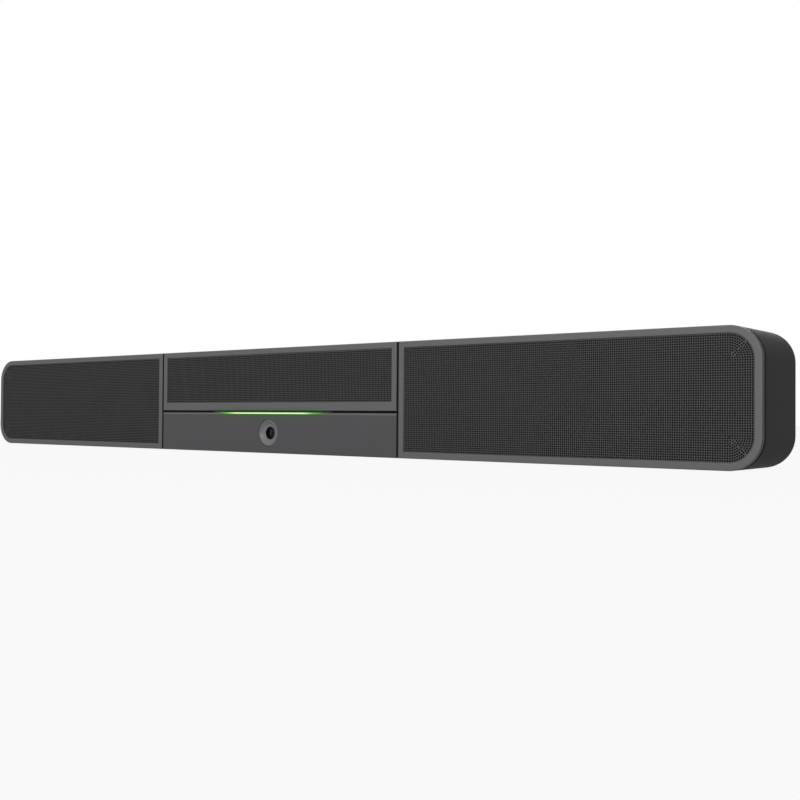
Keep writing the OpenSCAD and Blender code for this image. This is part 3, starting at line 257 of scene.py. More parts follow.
class Nodes:
    """A node tree being filled."""

    def __init__(self, tree):
        self.tree = tree
        tree.nodes.clear()

    def node(self, kind, settings=None, links=None, out=0):
        """Adds one node: its settings come first, then the values or links of its sockets."""
        made = self.tree.nodes.new("ShaderNode" + kind)
        for name, setting in (settings or {}).items():
            setattr(made, name, setting)
        for key, value in (links or {}).items():
            if isinstance(value, Value):
                self.tree.links.new(value.socket, made.inputs[key])
            else:
                made.inputs[key].default_value = value
        return Value(self, made.outputs[out]) if len(made.outputs) else None

    def blend(self, mask, first, second):
        """The first colour where the mask is 0 and the second where it is 1."""
        return self.node("Mix", {"data_type": "RGBA"}, {0: mask, 6: first, 7: second}, out=2)

    def toned(self, colour, tone):
        """A colour made lighter or darker by a tone that varies about 1."""
        return self.node("VectorMath", {"operation": "SCALE"}, {0: colour[:3], "Scale": tone})


class Finish(Nodes):
    """A procedural finish in the making, laid out in metres on the piece."""

    def __init__(self, name):
        self.material = bpy.data.materials.new(name)
        self.material.use_nodes = True
        super().__init__(self.material.node_tree)
        self.place = self.node("TexCoord", out="Object")
        split = self.node("SeparateXYZ", links={0: self.place}).socket.node.outputs
        self.x, self.y, self.z = (Value(self, axis) for axis in split)

    def noise(self, size):
        """Soft spots about size metres wide, from 0 to 1."""
        return self.node("TexNoise", links={"Vector": self.place, "Scale": 1 / size, "Detail": 2.0})

    def streaks(self, length, width, along="x"):
        """Spots drawn out along one axis, as brushing and extruding leave them."""
        stretch = {axis: length if axis == along else width for axis in "xyz"}
        scale = tuple(1 / stretch[axis] for axis in "xyz")
        drawn = self.node("Mapping", links={"Vector": self.place, "Scale": scale})
        return self.node("TexNoise", links={"Vector": drawn, "Scale": 1.0, "Detail": 3.0})

    def cells(self, size):
        """Distance from the nearest of many scattered points, in cells of about size metres."""
        return self.node("TexVoronoi", links={"Vector": self.place, "Scale": 1 / size})

    def bump(self, height, depth):
        return self.node("Bump", links={"Height": height, "Distance": depth}, out="Normal")

    def from_lens_axis(self):
        """Distance from the axis of the camera's lens."""
        up = self.z - lens_z
        return (self.x * self.x + up * up) ** 0.5

    def done(self, **sockets):
        """Closes the finish with a Principled shader. Socket names have underscores for spaces."""
        named = {key.replace("_", " "): value for key, value in sockets.items()}
        shader = self.node("BsdfPrincipled", links=named)
        self.node("OutputMaterial", links={"Surface": shader})
        return self.material


def moulding(name, colour, grain=0.35 * MM, relief=0.02 * MM, roughness=0.45, specular=0.5):
    """Starts a moulded plastic with a spark-eroded grain and an uneven tone: the finish and its sockets."""
    finish = Finish(name)
    fine = finish.noise(grain)
    broad = finish.noise(40 * MM)
    return finish, dict(
        Base_Color=finish.toned(colour, 0.94 + 0.08 * broad + 0.04 * fine),
        Roughness=fine.across(roughness - 0.06, roughness + 0.06),
        Specular_IOR_Level=specular,
        Normal=finish.bump(fine, relief),
    )


def moulded(name, colour, **looks):
    """A moulded plastic of one colour."""
    finish, sockets = moulding(name, colour, **looks)
    return finish.done(**sockets)


def light_share(finish):
    """How strongly the status light shines: 1 in the middle of the bar, down to 0 at the strip's ends."""
    return ((light_half - abs(finish.x)) / (light_half - light_core)).clipped()


def spilled(finish, colour, edge_z, up):
    """The colour of a front with green light on it, that fades away from the slot's edge."""
    away = ((finish.z - edge_z) * up).most(0.0)
    near = (-away / halo_fall).exponent() * halo_share
    return finish.blend(near * light_share(finish), colour, halo_green)


def painted_shade_behind(finish, front, side, depth):
    """Painted shade: the colour of a front that turns to a darker one behind a depth from the bar's front.
    """
    return finish.blend(finish.y.over(front_y + depth), front, side)


def frame_plastic(name="frame_plastic", by_light=False):
    """Light fronts, and sides darkened with painted shade. The frame over the status light catches its
    green.
    """
    finish, sockets = moulding(name, frame_grey, specular=0.12)
    front = sockets["Base_Color"]
    if by_light:
        front = spilled(finish, front, sill_z, up=1.0)
    # painted shade on the sides, behind the rounded front edge
    sockets["Base_Color"] = painted_shade_behind(finish, front, frame_side_painted_shade, painted_shade_from)
    return finish.done(**sockets)


def panel_plastic():
    """The camera panel, with a painted highlight along its rounded top edge and green from the light."""
    finish, sockets = moulding("camera_panel_plastic", panel_grey, roughness=0.48, specular=0.15)
    round_z = panel_top - panel_top_round
    highlight_low = round_z + 0.2 * MM
    highlight_high = panel_top - 0.8 * MM
    # painted highlight where the rounded top edge catches the light
    highlight_band = finish.z.over(highlight_low) * finish.z.under(highlight_high)
    front = finish.blend(highlight_band, sockets["Base_Color"], panel_edge_highlight)
    sockets["Base_Color"] = spilled(finish, front, round_z, up=-1.0)
    return finish.done(**sockets)


def black_plastic(name="black_plastic"):
    return moulded(name, shade(10, 10, 11), roughness=0.6, specular=0.1)


def powder_coat(name, colour):
    """Powder-coated metal: a fine orange-peel surface."""
    finish = Finish(name)
    peel = finish.cells(0.5 * MM)
    fine = finish.noise(0.2 * MM)
    return finish.done(
        Base_Color=finish.toned(colour, fine.across(0.95, 1.05)),
        Roughness=fine.across(0.45, 0.55),
        Specular_IOR_Level=0.25,
        Normal=finish.bump(peel, 0.02 * MM),
    )


def grille_coat():
    """Grey coat on the face of the perforated sheets; painted shade makes the walls of their holes black.
    """
    finish = Finish("grille_coat")
    fine = finish.noise(0.25 * MM)
    broad = finish.noise(30 * MM)
    face = finish.toned(sheet_grey, 0.9 + 0.1 * fine + 0.1 * broad)
    return finish.done(
        # painted shade: black on the hole walls behind the face
        Base_Color=painted_shade_behind(finish, face, hole_wall_painted_shade, lip_t + hole_shade_from),
        Roughness=fine.across(0.55, 0.65),
        Specular_IOR_Level=0.15,
        Normal=finish.bump(fine, 0.01 * MM),
    )


def acoustic_cloth():
    """Black open weave: fine ribs in both directions."""
    finish = Finish("acoustic_cloth")
    thread = 0.35 * MM
    weave = finish.x.waves(thread) * finish.z.waves(thread)
    return finish.done(
        Base_Color=finish.blend(weave, shade(6, 6, 6), shade(16, 16, 16)),
        Roughness=0.95,
        Specular_IOR_Level=0.05,
        Normal=finish.bump(weave, 0.1 * MM),
    )


def lit_plastic():
    """The status light: white-green in the middle of its length, deep green toward its points."""
    finish = Finish("light_plastic")
    green_share = 0.7
    white_share = 0.65
    share = light_share(finish)
    tint = finish.blend((share / green_share).clipped(), light_deep_green, light_green)
    tint = finish.blend(((share - white_share) / (1 - white_share)).clipped(), tint, light_white)
    tint = finish.blend(finish.z.under(panel_top), light_edge_green, tint)
    grain = finish.noise(1.5 * MM)
    return finish.done(
        Base_Color=finish.blend(grain, shade(20, 44, 14), shade(30, 60, 20)),
        Roughness=grain.across(0.3, 0.4),
        Specular_IOR_Level=0.2,
        Emission_Color=tint,
        Emission_Strength=1.0,
    )


def barrel_plastic():
    """Matt black inside the lens mouth, with fine turned rings."""
    finish = Finish("barrel_plastic")
    rings = finish.from_lens_axis().waves(0.3 * MM)
    fine = finish.noise(0.2 * MM)
    return finish.done(
        Base_Color=finish.blend(fine, shade(7, 7, 8), shade(12, 12, 13)),
        Roughness=fine.across(0.45, 0.55),
        Specular_IOR_Level=0.1,
        Normal=finish.bump(rings, 0.01 * MM),
    )


def coated_glass():
    """Camera glass with a violet coating that is stronger toward its middle."""
    finish = Finish("lens_glass")
    violet = (0.8, 0.72, 1.0, 1.0)
    edge = (finish.from_lens_axis() / coating_r).clipped()
    haze = finish.noise(3 * MM)
    return finish.done(
        Base_Color=finish.blend(edge, shade(12, 10, 22), shade(4, 4, 6)),
        Roughness=haze.across(0.04, 0.06),
        Specular_IOR_Level=0.2,
        Specular_Tint=violet,
    )


def solder_mask():
    """Green board with paler tracks under its lacquer."""
    finish = Finish("board_lacquer")
    tracks = finish.node(
        "TexBrick",
        {"offset": 0.37, "squash": 1.0},
        {
            "Vector": finish.place,
            "Scale": 1.0,
            "Color1": pure_black,
            "Color2": pure_black,
            "Mortar": pure_white,
            "Mortar Size": 0.3 * MM,
            "Brick Width": 7 * MM,
            "Row Height": 3 * MM,
        },
        out="Fac",
    )
    return finish.done(
        Base_Color=finish.blend(tracks, shade(16, 62, 34), shade(32, 98, 54)),
        Roughness=0.35,
        Coat_Weight=0.3,
        Normal=finish.bump(tracks, 0.03 * MM),
    )


def plated_metal(name, colour, roughness=0.28, along="x"):
    """Bare or plated metal with drawn-out streaks."""
    finish = Finish(name)
    streaks = finish.streaks(12 * MM, 0.25 * MM, along)
    spots = finish.noise(6 * MM)
    return finish.done(
        Base_Color=finish.toned(colour, 0.85 + 0.2 * streaks + 0.08 * spots),
        Metallic=1.0,
        Roughness=roughness + 0.12 * streaks,
        Normal=finish.bump(streaks, 0.01 * MM),
    )


def socket_shell():
    """Plated shells of the sockets, black moulding in their mouths."""
    finish = Finish("socket_shell")
    streaks = finish.streaks(5 * MM, 0.3 * MM)
    wall_t = 0.3 * MM
    inside = finish.y.under(socket_back - wall_t)
    plating = finish.blend(streaks, shade(150, 150, 154), shade(186, 186, 190))
    return finish.done(
        Base_Color=finish.blend(inside, plating, shade(16, 16, 17)),
        Metallic=1 - inside,
        Roughness=0.3 + 0.2 * inside + 0.1 * streaks,
        Normal=finish.bump(streaks, 0.01 * MM),
    )


def chip_plastic():
    """Moulded chip packages: near black with fine glass filler."""
    finish = Finish("component_plastic")
    filler = finish.cells(0.4 * MM)
    colour = finish.blend(filler, shade(20, 20, 22), shade(34, 34, 36))
    return finish.done(Base_Color=colour, Roughness=0.55, Normal=finish.bump(filler, 0.02 * MM))


def cone_pulp():
    """Pressed cone with faint fibres."""
    finish = Finish("cone_pulp")
    fibres = finish.streaks(3 * MM, 0.3 * MM, along="z")
    colour = finish.blend(fibres, shade(20, 20, 21), shade(34, 34, 35))
    return finish.done(Base_Color=colour, Roughness=0.8, Normal=finish.bump(fibres, 0.05 * MM))


def window_plastic():
    """Small unlit windows: amber on one side of a socket, green on the other."""
    finish = Finish("window_plastic")
    grain = finish.noise(0.4 * MM)
    window_gap = 11.2 * MM
    side = finish.x.waves(window_gap).over(0.5)
    return finish.done(
        Base_Color=finish.blend(side, shade(70, 92, 52), shade(120, 92, 40)),
        Roughness=grain.across(0.25, 0.35),
        Specular_IOR_Level=0.3,
    )


# Shapes: each is a list of corner points and a list of faces


def evenly(start, stop, steps):
    """Values from start to stop in equal steps, both ends included."""
    return [start + (stop - start) * i / steps for i in range(steps + 1)]


# Angles over a rounded edge, in radians
quarter_turn = evenly(0.0, math.pi / 2, steps=6)


def joined(shapes):
    """Several shapes as one."""
    points, faces = [], []
    for some_points, some_faces in shapes:
        start = len(points)
        points += some_points
        faces += [[start + corner for corner in face] for face in some_faces]
    return points, faces


def moved(shape, place):
    points, faces = shape
    return [place @ Vector(point) for point in points], faces


def mirrored(shape):
    """The same shape at the other end of the bar."""
    points, faces = shape
    return [(-x, y, z) for x, y, z in points], faces


def looped(rings, closed=True):
    """Skin over rings of points, each joined to the next, and the last to the first if closed."""
    count = len(rings[0])
    faces = []
    for ring in range(len(rings) if closed else len(rings) - 1):
        here = ring * count
        there = (ring + 1) % len(rings) * count
        for i in range(count):
            j = (i + 1) % count
            faces.append([here + i, here + j, there + j, there + i])
    return [point for ring in rings for point in ring], faces


def skinned(rings):
    """Skin over rings of points, with flat ends."""
    points, faces = looped(rings, closed=False)
    count = len(rings[0])
    last = len(points) - count
    return points, faces + [list(range(count))[::-1], list(range(last, last + count))]


def swept(outline, profile):
    """A closed frame: each inset and depth of the profile traces the outline."""
    return looped([[(x, front_y + depth, z) for x, z in outline(inset)] for inset, depth in profile])


def turned(profile, steps=TURN_STEPS):
    """A body turned about its axis, from points of radius and height. It points along +Z."""
    angles = [2 * math.pi * i / steps for i in range(steps)]
    rings = [
        [(max(radius, WELD) * math.cos(a), max(radius, WELD) * math.sin(a), height) for a in angles]
        for radius, height in profile
    ]
    return looped(rings)


def standing(x, z, depth):
    """A point of an upright sheet, at a depth behind the bar's front."""
    return x, front_y + depth, z


def lying(x, y, height):
    """A point of a flat sheet, before the shape is turned into place."""
    return x, y, height


def pierced(outline, holes, front, back, lay=standing):
    """A sheet between two depths or heights, with straight walls round its outline and its holes."""
    corners = [Vector(point) for hole in holes for point in hole]
    rings = []
    start = 0
    for hole in holes:
        rings.append(list(range(start, start + len(hole))))
        start += len(hole)
    rings.append(list(range(start, start + len(outline))))
    corners += [Vector(point) for point in outline]
    flat, _, triangles, _, _, origins = geometry.delaunay_2d_cdt(corners, [], rings, INSIDE_ONLY, WELD)
    kept = [list(face) for face, origin in zip(triangles, origins) if list(origin) == [len(holes)]]
    count = len(flat)
    points = [lay(x, z, front) for x, z in flat] + [lay(x, z, back) for x, z in flat]
    faces = kept + [[corner + count for corner in reversed(face)] for face in kept]
    edges = {(face[i], face[(i + 1) % 3]) for face in kept for i in range(3)}
    for a, b in edges:
        if (b, a) not in edges:
            faces.append([b, a, a + count, b + count])
    return points, faces


def piece(name, shape, finish, body="bar", stands_for=()):
    """Makes an object of a shape, smooth over its curves and crisp at its edges."""
    points, faces = shape
    mesh = bpy.data.meshes.new(name)
    mesh.from_pydata(points, [], faces)
    form = bmesh.new()
    form.from_mesh(mesh)
    bmesh.ops.remove_doubles(form, verts=form.verts, dist=WELD)
    bmesh.ops.dissolve_degenerate(form, edges=form.edges, dist=WELD)
    bmesh.ops.recalc_face_normals(form, faces=form.faces)
    for edge in form.edges:
        edge.smooth = edge.calc_face_angle(math.pi) < CREASE
    for face in form.faces:
        face.smooth = True
    form.to_mesh(mesh)
    form.free()
    made = bpy.data.objects.new(name, mesh)
    bpy.context.scene.collection.objects.link(made)
    made.data.materials.append(finish)
    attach(made, body)
    if stands_for:
        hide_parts(*stands_for)


# Front frames


def arc(cx, cz, radius, start, stop, steps=CORNER_STEPS):
    """Points on an arc, its angles in degrees."""
    angles = [math.radians(angle) for angle in evenly(start, stop, steps)]
    return [(cx + radius * math.cos(a), cz + radius * math.sin(a)) for a in angles]


def rounded_edge(radius, steps):
    """Insets and depths over the rounded front edge of a frame, from its side to its front."""
    return [(radius - x, radius - z) for x, z in arc(0.0, 0.0, radius, 0, 90, steps)]


def pod_outline(inset):
    """Outline of the right loudspeaker module, drawn in by inset, with its two outer corners rounded."""
    radius = corner_r - inset
    middle = end_x - corner_r
    points = [(pod_x + inset, bar_top - inset), (pod_x + inset, inset)]
    points += arc(middle, corner_r, radius, -90, 0)
    points += arc(middle, bar_top - corner_r, radius, 0, 90)
    return points


def centre_outline(inset):
    """Outline of the centre frame. Past its rounded edge, the sill is drawn in further than the rest."""
    low = sill_z + inset * (sill_w / border_w if inset > edge_r else 1.0)
    right = centre_x - inset
    top = bar_top - inset
    return [(-right, top), (-right, low), (right, low), (right, top)]


def frame_profile():
    """Section of a frame, as insets and depths, from the rebate in its side to the lip over the grille."""
    side = [
        (rebate_in, frame_depth),
        (rebate_in, rebate_front),
        (0.0, rebate_front),
        (0.0, line_back),
        (line_in, line_back),
        (line_in, line_front),
        (0.0, line_front),
    ]
    window = [
        (border_w - inner_chamfer, 0.0),
        (border_w, inner_chamfer),
        (border_w, lip_t),
        (tray_inset - frame_fit, lip_t),
        (tray_inset - frame_fit, frame_depth),
    ]
    return side + rounded_edge(edge_r, steps=8) + window


def front_frames():
    profile = frame_profile()
    plastic = frame_plastic()
    right = swept(pod_outline, profile)
    for name, shape in (("left", mirrored(right)), ("right", right)):
        piece(f"{name}_frame", shape, plastic, stands_for=[f"{name}_bezel"])
    plastic = frame_plastic("centre_frame_plastic", by_light=True)
    shape = swept(centre_outline, profile)
    piece("centre_frame", shape, plastic, stands_for=["centre_bezel"])


def seam_shade_strips():
    """Painted shade: black strips that fill the gaps between the modules, hollow along their fronts."""
    strip_front = 1.3 * MM
    hollow = 0.5 * MM
    low = 0.8 * MM
    width = pod_x - centre_x
    section = [
        (0.0, strip_front),
        (0.3 * width, strip_front),
        (0.5 * width, strip_front + hollow),
        (0.7 * width, strip_front),
        (width, strip_front),
        (width, frame_depth),
        (0.0, frame_depth),
    ]
    rings = [[(centre_x + x, front_y + y, z) for x, y in section] for z in (low, bar_top - low)]
    shade_strip = skinned(rings)
    # painted shade: the black strips stand in for the dark of the seams
    piece("seam_shade_strips", joined([shade_strip, mirrored(shade_strip)]), black_plastic("seam_shade_black"))


# Perforated grilles


def hole_rows(low, high):
    """Places of the rows of holes that fit between two edges, about their middle."""
    count = int((high - low - hole_w - 2 * hole_margin) / hole_pitch)
    first = (low + high - count * hole_pitch) / 2
    return [first + i * hole_pitch for i in range(count + 1)]


def square_hole(x, z, turn=0.0):
    """Corners of one hole. Turn is in radians."""
    reach = hole_w / 2 * math.sqrt(2)
    angles = [turn + math.pi / 4 + i * math.pi / 2 for i in range(4)]
    return [(x + reach * math.cos(a), z + reach * math.sin(a)) for a in angles]


def corner_turns(radius, first):
    """Angles of the holes on one row round a corner. The row goes on from both straight fields, with
    first as the distance to its nearest hole, and one more hole fills a wide gap on the diagonal."""
    half_arc = math.pi / 4 * radius
    reach = half_arc - hole_pitch / 2
    if first > reach:
        return [math.pi / 4]
    count = int((reach - first) / hole_pitch) + 1
    steps = [first + i * hole_pitch for i in range(count)]
    turns = [step / radius for step in steps]
    turns += [math.pi / 2 - turn for turn in turns]
    if 2 * (half_arc - steps[-1]) > corner_gap:
        turns.append(math.pi / 4)
    return turns


def pod_holes():
    """Straight rows, which turn round the centre of each rounded corner."""
    turn_x = end_x - corner_r
    turn_z = bar_top - corner_r
    rows = hole_rows(border_w, bar_top - border_w)
    straight = [z for z in rows if corner_r < z <= turn_z]
    short = turn_z - straight[-1]
    end = pod_x + border_w + hole_margin + hole_w / 2
    count = int((turn_x - short - end) / hole_pitch) + 1
    holes = [square_hole(turn_x - short - i * hole_pitch, z) for i in range(count) for z in rows]
    for radius in [z - turn_z for z in rows if z > turn_z]:
        holes += [square_hole(turn_x + radius, z) for z in straight]
        for turn in corner_turns(radius, hole_pitch - short):
            x = turn_x + radius * math.cos(turn)
            rise = turn_z - mid_z + radius * math.sin(turn)
            holes += [square_hole(x, mid_z + up * rise, up * turn) for up in (-1, 1)]
    return holes


def grille_sheet(outline, holes):
    """The pierced face and the edge folded back behind it."""
    face = pierced(outline(tray_inset + WELD), holes, lip_t, lip_t + sheet_t)
    fold = swept(
        outline,
        [
            (tray_inset, lip_t + sheet_t),
            (tray_inset + fold_t, lip_t + sheet_t),
            (tray_inset + fold_t, frame_depth),
            (tray_inset, frame_depth),
        ],
    )
    return joined([face, fold])


def grilles():
    coat = grille_coat()
    right = grille_sheet(pod_outline, pod_holes())
    for name, shape in (("left", mirrored(right)), ("right", right)):
        piece(f"{name}_sheet", shape, coat, stands_for=[f"{name}_grille"])
    window = centre_x - border_w
    columns = hole_rows(-window, window)
    rows = hole_rows(sill_z + sill_w, bar_top - border_w)
    holes = [square_hole(x, z) for x in columns for z in rows]
    shape = grille_sheet(centre_outline, holes)
    piece("centre_sheet", shape, coat, stands_for=["centre_grille"])


# Camera head

# Puts a turned body on the lens's axis, its +Z to the front and its zero in the plane of the bar's front
lens_place = Matrix.Translation((0.0, front_y, lens_z)) @ Matrix.Rotation(math.pi / 2, 4, "X")


def circle(radius, steps=TURN_STEPS):
    return arc(0.0, 0.0, radius, 0, 360, steps)[:-1]


def camera_head():
    """The ball, cut off behind, with a thin rim round a dish that leads in to the lens barrel."""
    rim_w = 0.6 * MM
    rim_round = 0.45 * MM
    rim_soft = 0.2 * MM
    rim_drop = 0.12 * MM
    dish_d = 3.4 * MM
    dish_bend = 0.9
    barrel_r = 6.8 * MM
    back = ball_hi.y - front_y
    behind = math.sqrt(ball_r**2 - (back - ball_depth) ** 2)
    low = math.atan2(ball_depth - back, behind)
    high = math.atan2(ball_depth - rim_round, eye_r)
    ball = [
        (ball_r * math.cos(a), ball_r * math.sin(a) - ball_depth)
        for a in evenly(low, high, steps=32)
    ]
    inner_r = eye_r - rim_w
    dish = [
        (inner_r + (barrel_r - inner_r) * t, -dish_d * math.sin(t * math.pi / 2) ** dish_bend)
        for t in evenly(0.0, 1.0, steps=16)[1:]
    ]
    profile = ball + [(eye_r - rim_soft, -rim_drop), (inner_r, 0.0)] + dish
    profile += [(barrel_r, -ball_depth), (barrel_r, -back)]
    plastic = moulded(
        "camera_ball_plastic",
        shade(118, 118, 120),
        grain=0.15 * MM,
        relief=0.01 * MM,
        roughness=0.4,
        specular=0.2,
    )
    shape = moved(turned(profile), lens_place)
    piece("camera_eye", shape, plastic, "camera_head", ["camera_ball"])


def lens():
    """Barrel with a stepped mouth, and the domed glass in it."""
    outer = (barrel_hi.z - barrel_lo.z) / 2
    front = front_y - barrel_lo.y
    back = front_y - barrel_hi.y
    glass_r = (glass_hi.z - glass_lo.z) / 2
    glass_front = front_y - glass_lo.y
    glass_back = front_y - glass_hi.y
    rim = 0.15 * MM
    mouth = outer - 0.85 * MM
    step_w = 0.3 * MM
    step_d = 0.45 * MM
    step_count = 4
    seat_r = glass_r + HAIR
    ledge_w = 1 * MM
    tail_r = 5.4 * MM
    tail_l = 2 * MM
    profile = [(outer, front - rim), (outer - rim, front)]
    for i in range(step_count):
        radius = mouth - i * step_w
        profile += [(radius, front - i * step_d), (radius, front - (i + 1) * step_d)]
    profile += [(seat_r, front - step_count * step_d), (seat_r, glass_back)]
    profile += [(seat_r - ledge_w, glass_back), (seat_r - ledge_w, back)]
    profile += [(tail_r, back), (tail_r, back + tail_l), (outer, back + tail_l)]
    shape = moved(turned(profile), lens_place)
    piece("lens_mouth", shape, barrel_plastic(), "camera_head", ["lens_barrel"])
    dome = 1.2 * MM
    sphere_r = (glass_r**2 + dome**2) / (2 * dome)
    middle = glass_front - sphere_r
    profile = [(r, middle + math.sqrt(sphere_r**2 - r**2)) for r in evenly(0.0, glass_r, steps=16)]
    profile += [(glass_r, glass_back), (0.0, glass_back)]
    shape = moved(turned(profile), lens_place)
    piece("front_glass", shape, coated_glass(), "camera_head", ["front_lens"])


def panel_outline(inset):
    """Outline of the camera panel. Its top edge is drawn in further, so that it is rounder."""
    right = centre_x - inset
    top = panel_top - inset * panel_top_round / panel_round
    return [(-right, top), (-right, inset), (right, inset), (right, top)]


def camera_panel():
    """A shallow tray with a seat for the camera's eye, hollowed to the shape of the ball."""
    return_w = 2 * MM
    inner = [(panel_round, panel_t), (return_w, panel_t), (return_w, frame_depth)]
    rim = swept(panel_outline, [(0.0, frame_depth)] + rounded_edge(panel_round, steps=10) + inner)
    seat_r = eye_hole_r + seat_w
    hole = [(x, lens_z + z) for x, z in circle(seat_r)]
    face = pierced(panel_outline(panel_round + HAIR), [hole], 0.0, panel_t)
    bevel_w = 0.2 * MM
    bevel_d = 0.15 * MM
    bowl_r = math.hypot(eye_hole_r, ball_depth)
    depths = evenly(bevel_d, panel_t, steps=8)
    bowl = [(math.sqrt(bowl_r**2 - (ball_depth - depth) ** 2), -depth) for depth in depths]
    seat = [(seat_r - HAIR, -panel_t), (seat_r - HAIR, 0.0), (eye_hole_r + bevel_w, 0.0)] + bowl
    shape = joined([rim, face, moved(turned(seat), lens_place)])
    piece("camera_panel", shape, panel_plastic(), stands_for=["camera_fascia"])


def light_bar():
    """A strip in the slot under the sill, its lip on the panel's rounded edge and its ends pointed."""
    low_z = light_lo.z
    high_z = light_hi.z
    slot_z = (low_z + high_z) / 2
    back = light_hi.y - front_y
    neck = 1.6 * MM
    thinnest = 0.04
    lip_mm = [(0.1, -0.7), (0.04, -0.4), (0.02, 0.0), (0.06, 0.45), (0.4, 0.85), (0.9, 1.15)]
    under_mm = [(1.3, 0.85), (0.6, 0.5), (0.2, -0.3)]
    section = [(depth * MM, light_mid_z + z * MM, light_mid_z) for depth, z in lip_mm]
    section += [(neck, high_z, slot_z), (back, high_z, slot_z), (back, low_z, slot_z)]
    section += [(depth * MM, light_mid_z + z * MM, light_mid_z) for depth, z in under_mm]
    taper = evenly(light_full, light_half, steps=6)
    rings = []
    for x in [-place for place in reversed(taper)] + taper:
        share = max(thinnest, (light_half - abs(x)) / (light_half - light_full))
        rings.append([(x, front_y + depth, mid + (z - mid) * share) for depth, z, mid in section])
    piece("light_bar", skinned(rings), lit_plastic(), stands_for=["light_guide"])


# Back


def facing_back(low, high, sunk=0.0):
    """Turns a body's +Z to the back, with its zero in the middle of a box's back, or sunk in it."""
    middle = ((low.x + high.x) / 2, high.y - sunk, (low.z + high.z) / 2)
    return Matrix.Translation(middle) @ Matrix.Rotation(-math.pi / 2, 4, "X")


def lumps(name):
    """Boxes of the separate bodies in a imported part."""
    merge = 0.01 * MM
    form = bmesh.new()
    form.from_mesh(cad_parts[name].data)
    bmesh.ops.remove_doubles(form, verts=form.verts, dist=merge)
    left = set(form.verts)
    boxes = []
    while left:
        ends = [left.pop()]
        lump = []
        while ends:
            vert = ends.pop()
            lump.append(vert.co.copy())
            for edge in vert.link_edges:
                other = edge.other_vert(vert)
                if other in left:
                    left.remove(other)
                    ends.append(other)
        low = Vector(min(point[axis] for point in lump) for axis in range(3))
        high = Vector(max(point[axis] for point in lump) for axis in range(3))
        boxes.append((low, high))
    form.free()
    return sorted(boxes, key=lambda box: tuple(box[0]))


def cross_outline(reach, half):
    """Corners of a cross, from the reach of its arms and half their width."""
    arm = [(reach, -half), (reach, half), (half, half)]
    points = []
    for _ in range(4):
        points += arm
        arm = [(-y, x) for x, y in arm]
    return points


def cross_screws(name, packed, finish, head_h, flat_share):
    """Screws with a cross recess, seen from behind. A flat_share of 1 is a countersunk head."""
    shank_r = 1.5 * MM
    tip_r = 0.6 * shank_r
    tip_l = 0.6 * MM
    recess = 1.0 * MM
    rim = 0.12 * head_h
    dome = 0.7 * head_h
    made = []
    for low, high in lumps(packed):
        head_r = (high.x - low.x) / 2
        length = high.y - low.y
        flat_r = head_r * flat_share
        arm = 0.58 * head_r
        arm_half = 0.13 * head_r
        if flat_share == 1:
            under_r = shank_r
            shoulder = [(head_r, -rim)]
        else:
            under_r = head_r
            shoulder = [
                (flat_r + (head_r - flat_r) * math.sin(t), -dome * (1 - math.cos(t)))
                for t in quarter_turn[1:]
            ]
        body = [(flat_r, 0.0)] + shoulder + [(under_r, -head_h), (shank_r, -head_h)]
        body += [(shank_r, tip_l - length), (tip_r, -length), (0.0, -length)]
        body += [(0.0, -recess), (flat_r, -recess)]
        cross = cross_outline(arm, arm_half)
        face = pierced(circle(flat_r - HAIR, SMALL_STEPS), [cross], 0.0, -recess, lying)
        place = facing_back(low, high)
        made += [moved(turned(body, SMALL_STEPS), place), moved(face, place)]
    piece(name, joined(made), finish, stands_for=[packed])


def threaded_bushes(finish):
    """Brass inserts with a chamfered mouth and thread grooves inside."""
    bore = 2.5 * MM
    pitch = 0.8 * MM
    groove = 0.35 * MM
    chamfer = 0.5 * MM
    rim = 0.2 * MM
    made = []
    for low, high in lumps("threaded_inserts"):
        outer = (high.x - low.x) / 2
        length = high.y - low.y
        body = [(bore, -length), (outer, -length), (outer, -rim), (outer - rim, 0.0)]
        body += [(bore + chamfer, 0.0)]
        for i in range(int((length - 2 * chamfer) / pitch)):
            depth = -chamfer - i * pitch
            body += [(bore, depth), (bore + groove, depth - pitch / 2)]
        made.append(moved(turned(body, SMALL_STEPS), facing_back(low, high)))
    piece("threaded_bushes", joined(made), finish, stands_for=["threaded_inserts"])


def contact_row(low, high):
    """The eight bent contacts of one network socket."""
    pitch = 1.02 * MM
    half_w = 0.18 * MM
    thick = 0.25 * MM
    count = 8
    up = 4.9 * MM
    first_x = (low.x + high.x) / 2 - (count - 1) / 2 * pitch
    roof = (low.z + high.z) / 2 + up
    bend_mm = [(-1.2, -0.3), (-2.0, -0.5), (-8.5, -3.4), (-10.5, -3.5)]
    path = [(high.y + y * MM, roof + z * MM) for y, z in bend_mm]
    section = path + [(y, z - thick) for y, z in reversed(path)]
    row = []
    for i in range(count):
        x = first_x + i * pitch
        row.append(skinned([[(x + side, y, z) for y, z in section] for side in (-half_w, half_w)]))
    return row


def window_pair(low, high):
    """The two small light windows of one network socket, with bevelled edges."""
    half_w = 1.5 * MM
    half_h = 0.9 * MM
    proud = 0.12 * MM
    spread = 5.6 * MM
    up = 1.7 * MM
    z = low.z + up
    pair = []
    for side in (-1, 1):
        x = (low.x + high.x) / 2 + side * spread
        rings = []
        for y, cut in ((high.y - proud, 0.0), (high.y + proud / 2, 0.0), (high.y + proud, proud)):
            w = half_w - cut
            h = half_h - cut
            rings.append([(x - w, y, z - h), (x + w, y, z - h), (x + w, y, z + h), (x - w, y, z + h)])
        pair.append(skinned(rings))
    return pair


